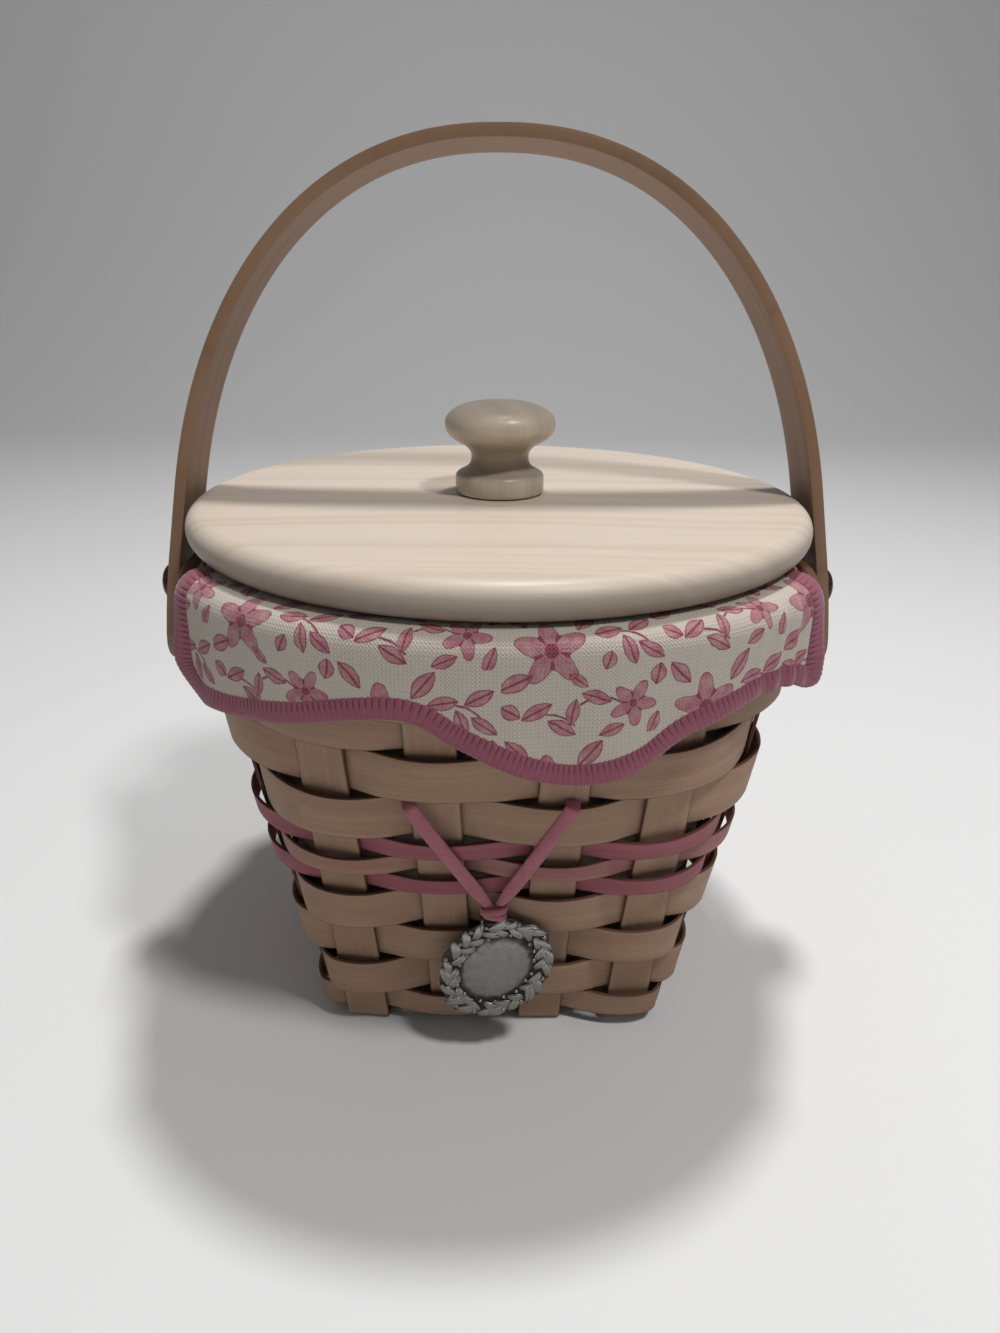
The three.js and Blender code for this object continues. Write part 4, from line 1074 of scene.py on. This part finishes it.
def lid():
    rim = inner_hoop_half(SEAT_HEIGHT) + LID_OVERHANG
    hole, bore = SCREW_RADIUS + CLEAR, SCREW_HEAD_RADIUS + CLEAR
    shelf = LID_BOTTOM + SCREW_HEAD_HEIGHT + CLEAR
    nose = LID_THICKNESS / 2
    outline = [(bore, LID_BOTTOM), (rim * 0.5, LID_BOTTOM)]
    for step in range(15):
        angle = -math.pi / 2 + step / 14 * math.pi
        outline.append((rim - nose + nose * math.cos(angle), LID_BOTTOM + nose + nose * math.sin(angle)))
    outline += [(rim * 0.6, LID_TOP), (rim * 0.3, LID_TOP), (hole, LID_TOP), (hole, shelf), (bore, shelf)]
    return turned(outline + outline[:1], 160)


def knob():
    foot = LID_TOP + CLEAR
    hole = SCREW_RADIUS + CLEAR

    def at(low, high, share):
        return foot + mix(low, high, share)

    brow, neck, collar = foot + KNOB_BROW, foot + KNOB_NECK_HEIGHT, foot + KNOB_FOOT_HEIGHT
    top = foot + KNOB_HEIGHT
    outline = [(0, top)]
    outline += curve(
        (0, top), (KNOB_RADIUS * 0.7, top), (KNOB_RADIUS, at(KNOB_BROW, KNOB_HEIGHT, 0.55)),
        (KNOB_RADIUS, brow), 14)
    outline += curve(
        (KNOB_RADIUS, brow), (KNOB_RADIUS, at(KNOB_BROW, KNOB_NECK_HEIGHT, 0.6)),
        (KNOB_NECK_RADIUS, at(KNOB_NECK_HEIGHT, KNOB_BROW, 0.5)), (KNOB_NECK_RADIUS, neck), 14)
    outline += curve(
        (KNOB_NECK_RADIUS, neck), (KNOB_NECK_RADIUS, at(KNOB_NECK_HEIGHT, KNOB_FOOT_HEIGHT, 0.75)),
        (KNOB_FOOT_RADIUS, at(KNOB_FOOT_HEIGHT, KNOB_NECK_HEIGHT, 0.4)), (KNOB_FOOT_RADIUS, collar), 12)
    outline += [
        (KNOB_FOOT_RADIUS, foot + 0.7), (KNOB_FOOT_RADIUS - 0.2, foot + 0.2), (KNOB_FOOT_RADIUS - 0.7, foot),
        (hole, foot), (hole, foot + SCREW_BITE + CLEAR), (0, foot + SCREW_BITE + CLEAR)]
    return turned(outline, 72)


# Outer half width of the liner bag at a height
def bag_half(height):
    pinch_foot, pinch_top = RIVET_HEIGHT - BURR_RADIUS, RIVET_HEIGHT + BURR_RADIUS
    top = inner_hoop_half(SEAT_HEIGHT) - INNER_HOOP_THICKNESS - 2 * CLEAR
    pinch = RIVET_INNER_END - CLEAR
    rise = min((height - pinch_top) / (SEAT_HEIGHT - pinch_top), 1)
    if rise > 0:
        return mix(pinch, top, rise)
    t = min((height - BASE_TOP) / (pinch_foot - BASE_TOP), 1)
    return min(mix(BASE_HALF - BAG_BASE_INSET, pinch, t), wall_half(height) - WEAVE_HALF - BAG_SLACK)


BAG_FLOOR = BASE_TOP + CLEAR + CLOTH / 2
BAG_TOP = SEAT_HEIGHT + CLEAR + CLOTH


def bag_angle(i):
    side, step = divmod(i, BAG_SIDE_CELLS)
    return math.atan2(step / BAG_SIDE_CELLS * 2 - 1, 1) + side * math.pi / 2


# Sides of the liner bag, with soft upright creases that fade towards the seam at the floor
def bag_sides():
    rows = 30
    columns = 4 * BAG_SIDE_CELLS

    def place(i, j):
        t = j / rows
        height = mix(BAG_FLOOR, BAG_TOP, t)
        angle = bag_angle(i % columns)
        crease = 0.5 + 0.5 * math.sin(9 * angle + 1.1 * math.sin(4 * t) + 0.7 * math.sin(3 * angle))
        depth = BAG_CREASE * crease ** 2 * ease(t * 3) * ease((1 - t) * 4)
        point, _ = section_at(angle, bag_half(height) - CLOTH / 2 - depth, squareness(height))
        point.z = height
        return point, i / columns * math.tau * BAG_PRINT_RADIUS, height

    return surface(columns, rows, place)


def bag_bottom():
    half = bag_half(BAG_FLOOR) - CLOTH / 2

    def place(i, j):
        a, b = i / BAG_SIDE_CELLS * 2 - 1, j / BAG_SIDE_CELLS * 2 - 1
        reach = max(abs(a), abs(b))
        point, _ = section_at(math.atan2(b, a), half, squareness(BAG_FLOOR))
        ruck = BAG_RUCK * (1 + math.sin(9 * a + 2 * b)) * (1 - reach) * reach
        x, y = point.x * reach, point.y * reach
        return Vector((x, y, BAG_FLOOR + ruck)), x, y

    return surface(BAG_SIDE_CELLS, BAG_SIDE_CELLS, place)


def liner_bag():
    return welded(joined([bag_sides(), bag_bottom()]), BAG_WELD)


# Section of a valance from the lid seat round its shoulder, as half width and height of the cloth's middle
def valance_section():
    seat = SEAT_HEIGHT + CLEAR + CLOTH / 2
    seat_out = inner_hoop_half(SEAT_HEIGHT)
    hang = outer_hoop_half(RIM_HEIGHT) + CLEAR + CLOTH / 2
    foot = RIM_HEIGHT - CLOTH
    power = 2 / SHOULDER_SQUARENESS
    steps = 16
    section = [(seat_out - INNER_HOOP_THICKNESS, seat)]
    for step in range(steps + 1):
        angle = step / steps * math.pi / 2
        out = mix(seat_out + CLEAR, hang, math.sin(angle) ** power)
        section.append((out, mix(foot, seat, max(math.cos(angle), 0) ** power)))
    return section


SECTION = valance_section()
LEGS = [math.dist(before, after) for before, after in zip(SECTION, SECTION[1:])]
HANG_START = sum(LEGS)
HANG_HALF = SECTION[-1][0]
MM_PER_DEGREE = HANG_HALF * math.pi / 180
SIDE_END = VALANCE_REACH * MM_PER_DEGREE


# Smooth curve through the lower edge's points
def edge_curve(steps):
    knots = [(share * VALANCE_REACH, drop * VALANCE_DROP) for share, drop in VALANCE_EDGE]
    points = []
    for i in range(len(knots) - 1):
        p0, p1, p2 = knots[max(i - 1, 0)], knots[i], knots[i + 1]
        p3 = knots[min(i + 2, len(knots) - 1)]
        for step in range(steps):
            t = step / steps
            spot = []
            for axis in (0, 1):
                v0 = (p2[axis] - p0[axis]) / 2
                v1 = (p3[axis] - p1[axis]) / 2
                spot.append((2 * p1[axis] - 2 * p2[axis] + v0 + v1) * t ** 3
                            + (3 * p2[axis] - 3 * p1[axis] - 2 * v0 - v1) * t * t + v0 * t + p1[axis])
            points.append(tuple(spot))
    return points + [knots[-1]]


EDGE_POINTS = edge_curve(12)


# Run of cloth from its inner end to the lower edge, at millimetres round the rim from the middle
def valance_run(around):
    degrees = min(max(around / MM_PER_DEGREE, -VALANCE_REACH), VALANCE_REACH)
    after = 1
    while after < len(EDGE_POINTS) - 1 and EDGE_POINTS[after][0] < degrees:
        after += 1
    (x0, y0), (x1, y1) = EDGE_POINTS[after - 1], EDGE_POINTS[after]
    drop = mix(y0, y1, (degrees - x0) / (x1 - x0))
    radius = CORNER_ROUND[-1 if around < 0 else 1]
    into = clamp((abs(around) - SIDE_END + radius) / radius)
    return HANG_START + drop + SECTION[-1][1] - RIM_HEIGHT - radius * (1 - math.sqrt(1 - into * into))


# Outward sway of the cloth: soft folds, creases near the right end, and its ends curling away from the rim
def valance_sway(around, run):
    hung = clamp((run - HANG_START) / VALANCE_DROP)
    turned_down = clamp((run - LEGS[0]) / (HANG_START - LEGS[0]))
    turns = FOLD_COUNT * (around / SIDE_END + 1) / 2
    fold = FOLD_DEPTH * (1 - math.cos(math.tau * turns)) / 2
    end = clamp((abs(around) - SIDE_END + END_CURL) / END_CURL)
    flare = END_FLARE[-1 if around < 0 else 1] * end * end
    creased = ease((around - 0.6 * SIDE_END) / 20)
    crease = CREASE_DEPTH * math.sin(0.9 * around + 0.12 * run) * creased * (1 - end)
    spread = clamp((run - LEGS[0]) / (HANG_START - LEGS[0] + END_DROP))
    return fold * hung + flare * spread * spread + crease * turned_down


# Point of the cloth, offset outwards along its own normal
def valance_point(around, run, offset, turn):
    rest, leg = run, 0
    while leg < len(LEGS) - 1 and rest > LEGS[leg]:
        rest -= LEGS[leg]
        leg += 1
    if run > HANG_START:
        start, along, length = SECTION[-1], (0, -1), run - HANG_START
    else:
        start, end = SECTION[leg], SECTION[leg + 1]
        along = ((end[0] - start[0]) / LEGS[leg], (end[1] - start[1]) / LEGS[leg])
        length = rest
    half = start[0] + along[0] * length - along[1] * offset + valance_sway(around, run)
    into_end = clamp((abs(around) - SIDE_END + END_SLANT_REACH) / END_SLANT_REACH)
    up = 1 - clamp((run - LEGS[0]) / (HANG_START - LEGS[0] + END_DROP))
    slanted = around + math.copysign(END_SLANT * into_end * into_end * up, around)
    point, _ = section_at(math.radians(slanted / MM_PER_DEGREE - 90 + turn), half, SQUARE_AT_RIM)
    point.z = start[1] + along[1] * length + along[0] * offset
    return point


def valance(turn):
    columns, shoulder_rows, hang_rows = 220, 20, 24
    reach = SIDE_END - EDGING_OVERLAP

    def place(i, j):
        around = mix(-reach, reach, i / columns)
        end = max(valance_run(around) - EDGING_OVERLAP, HANG_START + 0.5)
        run = HANG_START * j / shoulder_rows
        if j > shoulder_rows:
            run = mix(HANG_START, end, (j - shoulder_rows) / hang_rows)
        return valance_point(around, run, 0, turn), around, -run

    return surface(columns, shoulder_rows + hang_rows, place)


# Line that the edging follows, evenly spaced, as millimetres round the rim and run down the cloth
def edging_line():
    outline = [(-SIDE_END, run) for run in range(0, int(valance_run(-SIDE_END)))]
    count = 400
    outline += [(x, valance_run(x)) for x in (mix(-SIDE_END, SIDE_END, i / count) for i in range(count + 1))]
    outline += [(SIDE_END, run) for run in range(int(valance_run(SIDE_END)), -1, -1)]
    lengths = [0.0]
    for before, after in zip(outline, outline[1:]):
        lengths.append(lengths[-1] + math.dist(before, after))
    steps = int(lengths[-1] / STITCH_PITCH) * STITCH_STEPS
    spots, k = [], 0
    for i in range(steps + 1):
        at = lengths[-1] * i / steps
        while k < len(lengths) - 2 and lengths[k + 1] < at:
            k += 1
        t = (at - lengths[k]) / max(lengths[k + 1] - lengths[k], 1e-9)
        spots.append((mix(outline[k][0], outline[k + 1][0], t), mix(outline[k][1], outline[k + 1][1], t)))
    return spots


# Rolled edging of a valance, with a ridge for each stitch
def edging(turn):
    spots = edging_line()
    rows = 12
    last = len(spots) - 1
    inwards = []
    for i in range(last + 1):
        before, after = spots[max(i - 5, 0)], spots[min(i + 5, last)]
        along = (after[0] - before[0], after[1] - before[1])
        size = math.hypot(*along)
        inwards.append((along[1] / size, -along[0] / size))

    def place(i, j):
        turned_by = j / rows * math.tau
        phase = i / STITCH_STEPS % 1
        ridge = math.sqrt(max(1 - (2 * phase - 1) ** 2, 0))
        x, run = spots[i]
        hung = clamp((run - LEGS[0]) / EDGING_WIDTH)
        wide = EDGING_LOOK / 2 * mix(0.95, 1, ridge)
        across = EDGING_LOOK / 2 + wide * math.cos(turned_by)
        inner = clamp(across / EDGING_LOOK)
        thick = mix(CLOTH / 2 + 0.05, EDGING_THICKNESS / 2, hung) * mix(1.12, 0.72, inner)
        thick *= mix(mix(0.93, 0.4, ease((inner - 0.45) / 0.25)), 1, ridge)
        lift = thick * math.copysign(abs(math.sin(turned_by)) ** 0.65, math.sin(turned_by))
        inward = inwards[i]
        spot = (x + inward[0] * across, run + inward[1] * across)
        point = valance_point(spot[0], max(spot[1], 0), lift + EDGING_LIFT * hung, turn)
        return point, i / STITCH_STEPS * STITCH_PITCH, across

    return tube(last, rows, place)


# Front of the weave at a place: how far it stands out towards -Y
def weave_front(across, height):
    half, power = wall_half(height), squareness(height)
    point, _ = section_at(side_angle(0, across, half, power), half, power)
    return -point.y + WEAVE_HALF


KNOT_OUT = weave_front(KNOT_ACROSS, KNOT_HEIGHT) + CLEAR + KNOT_RADIUS
KNOT_PLACE = Vector((KNOT_ACROSS, -KNOT_OUT, KNOT_HEIGHT))
LACE_TOP = ROW_BOTTOMS[8]


# Route of one lace, from the gap in the weave to the knot
def lace_route(side):
    lift = 3 * CLEAR + LACE_THICKNESS / 2
    across = LACE_SPREAD[side]
    start = Vector((across, -weave_front(across, LACE_TOP) - lift, LACE_TOP))
    end = KNOT_PLACE + Vector((side * 0.35 * KNOT_HALF_LENGTH, 0, KNOT_RADIUS * 0.9))
    steps = 60
    route = []
    for i in range(steps + 1):
        t = i / steps
        spot = start.lerp(end, t)
        spot.y += LACE_TUCK * (1 - ease(t * LACE_TUCK_RATE)) - LACE_BOW * math.sin(math.pi * t ** 0.6)
        route.append(spot)
    return route


def lace(side):
    route = lace_route(side)
    rows = 12
    last = len(route) - 1
    lengths = running_lengths(route)

    def place(i, j):
        before, after = route[max(i - 1, 0)], route[min(i + 1, last)]
        along = (after - before).normalized()
        across = along.cross(Vector((0, -1, 0))).normalized()
        normal = across.cross(along).normalized()
        angle = j / rows * math.tau
        pinch = 1 - LACE_PINCH * ease((i / last - 0.8) / 0.2)
        cup = LACE_CUP * math.cos(angle) ** 2
        wide = LACE_WIDTH / 2 * pinch * math.cos(angle)
        thick = LACE_THICKNESS / 2 * math.sin(angle) + cup * LACE_CUP_SHARE[side]
        return route[i] + across * wide + normal * thick, lengths[i], j / rows * 10

    return tube(last, rows, place)


# Knot: two turns of the lace drawn tight round the strands
def knot():
    turns = []
    for drop, lean, reach in KNOT_TURNS:
        columns, rows = 40, 10

        def place(i, j):
            angle = i / columns * math.tau
            around = j / rows * math.tau
            out = STRAND_HALF * math.cos(around)
            x = (KNOT_HALF_LENGTH * reach - STRAND_HALF + out) * math.cos(angle)
            y = (KNOT_RADIUS - STRAND_HALF + out) * math.sin(angle)
            z = drop + lean * x + STRAND_RISE * math.sin(around) + 0.12 * math.sin(3 * angle)
            return KNOT_PLACE + Vector((x, y, z)), i / columns * 18, j / rows * 5

        turns.append(tube(columns, rows, place))
    columns, rows = 24, 12

    def core(i, j):
        angle = i / columns * math.tau
        rise = (j / rows - 0.5) * math.pi
        x = KNOT_HALF_LENGTH * 0.72 * math.cos(angle) * math.cos(rise)
        y = KNOT_RADIUS * 0.7 * math.sin(angle) * math.cos(rise)
        return KNOT_PLACE + Vector((x, y, KNOT_RADIUS * 1.05 * math.sin(rise))), i * 0.7, j * 0.5

    return joined(turns + [tube(columns, rows, core)])


RING_SHARE = (abs(RING_ACROSS - KNOT_ACROSS) - RING_WIRE) / KNOT_HALF_LENGTH
KNOT_AT_RING = KNOT_RADIUS * math.sqrt(1 - RING_SHARE ** 2)
RING_HEIGHT = KNOT_HEIGHT - KNOT_AT_RING - CLEAR - RING_RADIUS - RING_WIRE


def charm_ring():
    columns, rows = 40, 10

    def place(i, j):
        angle, around = i / columns * math.tau, j / rows * math.tau
        reach = RING_RADIUS + RING_WIRE * math.cos(around)
        point = Vector((RING_WIRE * math.sin(around), reach * math.cos(angle), reach * math.sin(angle)))
        return Vector((RING_ACROSS, KNOT_PLACE.y, RING_HEIGHT)) + point, i, j

    return tube(columns, rows, place)


EDGE_RISE = 1 / math.hypot(2 * math.cos(CHARM_TURN) / CHARM_HEIGHT, 2 * math.sin(CHARM_TURN) / CHARM_WIDTH)
HOLE_RISE = EDGE_RISE - CHARM_HOLE_MARGIN - CHARM_HOLE


# From the charm's own frame, face towards -Y and long axis up, to where it hangs
def hung_charm(point):
    turned_oval = Matrix.Rotation(CHARM_TURN, 3, "Y") @ point
    spot = Matrix.Rotation(-CHARM_TILT, 3, "Y") @ (turned_oval - Vector((0, 0, HOLE_RISE)))
    return spot + Vector((RING_ACROSS, KNOT_PLACE.y, RING_HEIGHT - RING_RADIUS))


# Plaque with a softly domed plain middle inside a sunken border, its outline uneven
def charm_plaque():
    columns = 120

    def place(i, j):
        share, lift = CHARM_RINGS[j]
        angle = i / columns * math.tau
        uneven = 0.02 * math.cos(9 * angle + 0.6) + 0.016 * math.cos(14 * angle + 2)
        share *= 1 + uneven * ease((share - 0.3) / 0.6)
        x = CHARM_WIDTH / 2 * share * math.cos(angle)
        z = CHARM_HEIGHT / 2 * share * math.sin(angle)
        return hung_charm(Vector((x, -lift, z))), i, j

    return tube(columns, len(CHARM_RINGS) - 1, place)


# One leaf of the wreath: a closed pointed form with a groove down its middle
def charm_leaf(angle, lean, length, width, rise, inset):
    columns, rows = 8, 12
    reach = Vector((CHARM_WIDTH / 2 - inset, CHARM_HEIGHT / 2 - inset))
    middle = Vector((reach.x * math.cos(angle), reach.y * math.sin(angle)))
    heading = math.atan2(reach.y * math.cos(angle), -reach.x * math.sin(angle)) + lean
    along = Vector((math.cos(heading), math.sin(heading)))
    across = Vector((-along.y, along.x))

    def place(i, j):
        t = i / columns
        around = j / rows * math.tau
        wide = width / 2 * math.sin(math.pi * t ** 0.8) ** 0.8 * math.cos(around)
        groove = LEAF_GROOVE * math.exp(-(wide / LEAF_GROOVE_WIDTH) ** 2) if math.sin(around) > 0 else 0
        lift = (rise * math.sin(math.pi * mix(0.12, 0.95, t)) - groove) * max(math.sin(around), -0.3)
        flat = middle + along * (t - 0.5) * length + across * (wide + 0.5 * math.sin(math.pi * t))
        return hung_charm(Vector((flat.x, -0.05 - lift, flat.y))), i, j

    return tube(columns, rows, place)


def charm_berry(angle, inset, radius):
    made = bmesh.new()
    bmesh.ops.create_icosphere(made, subdivisions=2, radius=radius * MM)
    x = (CHARM_WIDTH / 2 - inset) * math.cos(angle)
    z = (CHARM_HEIGHT / 2 - inset) * math.sin(angle)
    bmesh.ops.translate(made, verts=made.verts, vec=hung_charm(Vector((x, -0.25, z))) * MM)
    return made


# Wreath of uneven leaves in crossing pairs, with berries between them
def charm_wreath():
    parts = []
    for k in range(WREATH_COUNT):
        angle = math.pi / 2 + (k + 0.5 + 0.16 * math.sin(2.4 * k)) / WREATH_COUNT * math.tau
        vary = 1 + 0.13 * math.sin(3.7 * k + 1)
        heading = math.pi if math.cos(angle) > 0 else 0
        outward = heading + 0.5 + 0.2 * math.sin(5.1 * k)
        inward = heading - 0.55 + 0.2 * math.sin(4.3 * k)
        parts.append(charm_leaf(angle, outward, 7 * vary, 2.9 * vary, 0.9, 1.9))
        parts.append(charm_leaf(angle + 0.14, inward, 6.2 * vary, 2.6, 0.8, 3.9))
        parts.append(charm_berry(angle - 0.2, 1.2 + 0.5 * math.sin(2.9 * k), 0.7))
        parts.append(charm_berry(angle + 0.25, 5.3 + 0.3 * math.sin(3.3 * k), 0.6))
    return joined(parts)


# How deep each point of the charm lies behind its highest relief, for the dark of the hollows
def add_hollows(thing):
    attribute = thing.data.attributes.new("hollow", "FLOAT", "POINT")
    front = KNOT_PLACE.y * MM
    for vert, value in zip(thing.data.vertices, attribute.data):
        value.value = clamp((vert.co.y - front + HOLLOW_START * MM) / (HOLLOW_REACH * MM))


def path_length(route):
    return sum((after - before).length for before, after in zip(route, route[1:]))


def in_metres(route):
    return [tuple(spot * MM) for spot in route]


add_camera()
lace_material = lace_finish("rose_lace")
pewter_material = pewter_finish("aged_pewter")
thread_material = thread_finish("overlock_thread")
cotton_material = printed_finish("printed_canvas")
bent_material = bent_finish("bent_wood_strap", BENT, BENT_DARK, 3.0)
# The lid gets painted shade on its edge and underside, and the knob on its neck
lid_material = pale_finish(
    "lid_wood", False, PALE, PALE_DARK, 0.4, 0.15, LID_EDGE_PAINTED_SHADE, LID_BOTTOM - 3, LID_TOP - 0.5)
knob_material = pale_finish(
    "knob_wood", True, KNOB, KNOB_DARK, 2.7, 0.45, KNOB_NECK_PAINTED_SHADE, LID_TOP + KNOB_FOOT_HEIGHT, LID_TOP + KNOB_BROW)
bronze_material = metal_finish("dark_rivet", BRONZE, BRONZE_WORN, 0.5, 0.8, 0.34, 500)
steel_material = metal_finish("screw_plating", STEEL, PEWTER, 0.4, 0.7, 0.25, 700)

knot_piece = piece("lace_knot_wrapped", knot(), lace_material, "basket", ["lace_knot"])
ring_piece = piece("charm_ring_wire", charm_ring(), pewter_material, "charm", ["charm_ring"])
charm_piece = piece(
    "charm_wreath_plaque", joined([charm_plaque(), charm_wreath()]), pewter_material, "charm",
    ["charm"])
add_hollows(charm_piece)
add_hollows(ring_piece)
for side, word in ((-1, "left"), (1, "right")):
    strand = piece(
        f"lace_{word}_strand", lace(side), lace_material, "basket", [f"lace_{word}"])
    route = lace_route(side)
    in_metres(route)[0]
    path_length(route) * MM
    in_metres(route)

for row, (word, slot) in enumerate(ROWS):
    base, dark = SPLINTS[slot]
    right_base = BLUSH if slot == "blush_splint" else None
    material = splint_finish(f"splint_{word}", ROW_HEIGHTS[row], base, dark, 1.7 * row, right_base)
    piece(
        f"woven_row_{word}", weaver(row), material, "basket", [f"weaver_{word}"], WEAVER_THICKNESS,
        SPLINT_EDGE)

upright_material = splint_finish("splint_upright", STAKE_WIDTH, NATURAL, NATURAL_DARK, 31.0)
for stake in range(4):
    for is_across, words in ((False, "front_back"), (True, "left_right")):
        piece(
            f"upright_splint_{words}_{stake + 1}", upright(stake, is_across), upright_material, "basket",
            [f"upright_{words}_{stake + 1}"], STAKE_THICKNESS, SPLINT_EDGE)

hoop_material = splint_finish("splint_hoop", OUTER_HOOP_HEIGHT, NATURAL, NATURAL_DARK, 43.0)
piece(
    "rim_band_outer", hoop(outer_hoop_half, OUTER_HOOP_THICKNESS, RIM_HEIGHT - OUTER_HOOP_HEIGHT, RIM_HEIGHT),
    hoop_material, "basket", ["rim_hoop_outer"], OUTER_HOOP_THICKNESS, HOOP_EDGE)
piece(
    "rim_band_inner", hoop(inner_hoop_half, INNER_HOOP_THICKNESS, INNER_HOOP_FOOT, SEAT_HEIGHT),
    hoop_material, "basket", ["rim_hoop_inner"], INNER_HOOP_THICKNESS, HOOP_EDGE)

piece(
    "swing_handle_strap", handle(), bent_material, "handle", ["handle"], HANDLE_THICKNESS,
    HANDLE_EDGE)
for side, word in ((-1, "left"), (1, "right")):
    burr = washer(HOLE_RADIUS, BURR_RADIUS, BURR_IN, BURR_OUT, BURR_EDGE)
    spacer = washer(HOLE_RADIUS, SPACER_RADIUS, SPACER_IN, SPACER_OUT, SPACER_EDGE)
    piece(
        f"rivet_{word}_domed", on_side(rivet(), side), bronze_material, "basket",
        [f"rivet_{word}"], sharp=METAL_SHARP)
    piece(
        f"rivet_burr_{word}_washer", on_side(burr, side), bronze_material, "basket",
        [f"rivet_burr_{word}"], sharp=METAL_SHARP)
    piece(
        f"pivot_spacer_{word}_disc", on_side(spacer, side), knob_material, "basket",
        [f"pivot_spacer_{word}"], sharp=METAL_SHARP)

piece("lid_disc", lid(), lid_material, "lid", ["lid"], sharp=WOOD_SHARP)
piece("lid_knob_turned", knob(), knob_material, "lid", ["lid_knob"], sharp=WOOD_SHARP)
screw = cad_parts["knob_screw"]
screw.data.materials.clear()
screw.data.materials.append(steel_material)

# The bag's outer side is painted shade, its inner side the print
bag = piece(
    "liner_bag_cloth", liner_bag(), painted_shade_reverse_finish("cloth_reverse_painted_shade"), "basket",
    ["liner_bag"], CLOTH_LOOK, inside=cotton_material)
for word, turn in (("front", 0), ("back", 180)):
    hem = piece(
        f"valance_{word}_overlock", edging(turn), thread_material, "basket",
        [f"valance_edging_{word}"])
    cloth = piece(
        f"valance_{word}_cloth", valance(turn), cotton_material, "basket",
        [f"valance_{word}"], CLOTH_LOOK)


# Pale floor sweeping up into a backdrop
def add_floor():
    made = bmesh.new()
    bmesh.ops.create_grid(made, x_segments=24, y_segments=60, size=1)
    for vert in made.verts:
        y = vert.co.y * FLOOR_HALF_LENGTH + FLOOR_SHIFT
        past = max(y - SWEEP_START, 0)
        bend = min(past, SWEEP_ARC) / SWEEP_RADIUS
        away = min(y, SWEEP_START + SWEEP_RADIUS * math.sin(bend))
        vert.co = (vert.co.x * FLOOR_HALF_WIDTH, away, SWEEP_RADIUS * (1 - math.cos(bend)))
        vert.co.z += max(past - SWEEP_ARC, 0)
    finish = Finish("pale_floor")
    x, y, _ = finish.place()
    cloud = finish.noise(x * 3, y * 3, 1.0, 2.0)
    finish.shade({"Base Color": finish.blend(cloud * 0.06, FLOOR, FLOOR_DARK), "Roughness": 0.9})
    data = bpy.data.meshes.new("pale_floor")
    made.to_mesh(data)
    made.free()
    data.shade_smooth()
    data.materials.append(finish.material)
    floor = bpy.data.objects.new("pale_floor", data)
    bpy.context.scene.collection.objects.link(floor)


def add_lamp(name, place, size, power):
    lamp = bpy.data.lights.new(name, "AREA")
    lamp.shape = "DISK"
    lamp.size = size
    lamp.energy = power
    holder = bpy.data.objects.new(name, lamp)
    bpy.context.scene.collection.objects.link(holder)
    holder.location = place
    holder.rotation_mode = "QUATERNION"
    holder.rotation_quaternion = (Vector(LAMP_TARGET) - Vector(place)).to_track_quat("-Z", "Y")


def add_light():
    add_lamp("overhead_lamp", OVERHEAD_PLACE, OVERHEAD_SIZE, OVERHEAD_POWER)
    add_lamp("front_lamp", FRONT_PLACE, FRONT_SIZE, FRONT_POWER)
    world = bpy.data.worlds.new("soft_room")
    bpy.context.scene.world = world
    world.use_nodes = True
    room = world.node_tree.nodes["Background"]
    room.inputs["Color"].default_value = (1, 1, 1, 1)
    room.inputs["Strength"].default_value = ROOM_STRENGTH


add_floor()
add_light()
bpy.context.scene.view_settings.view_transform = "Standard"
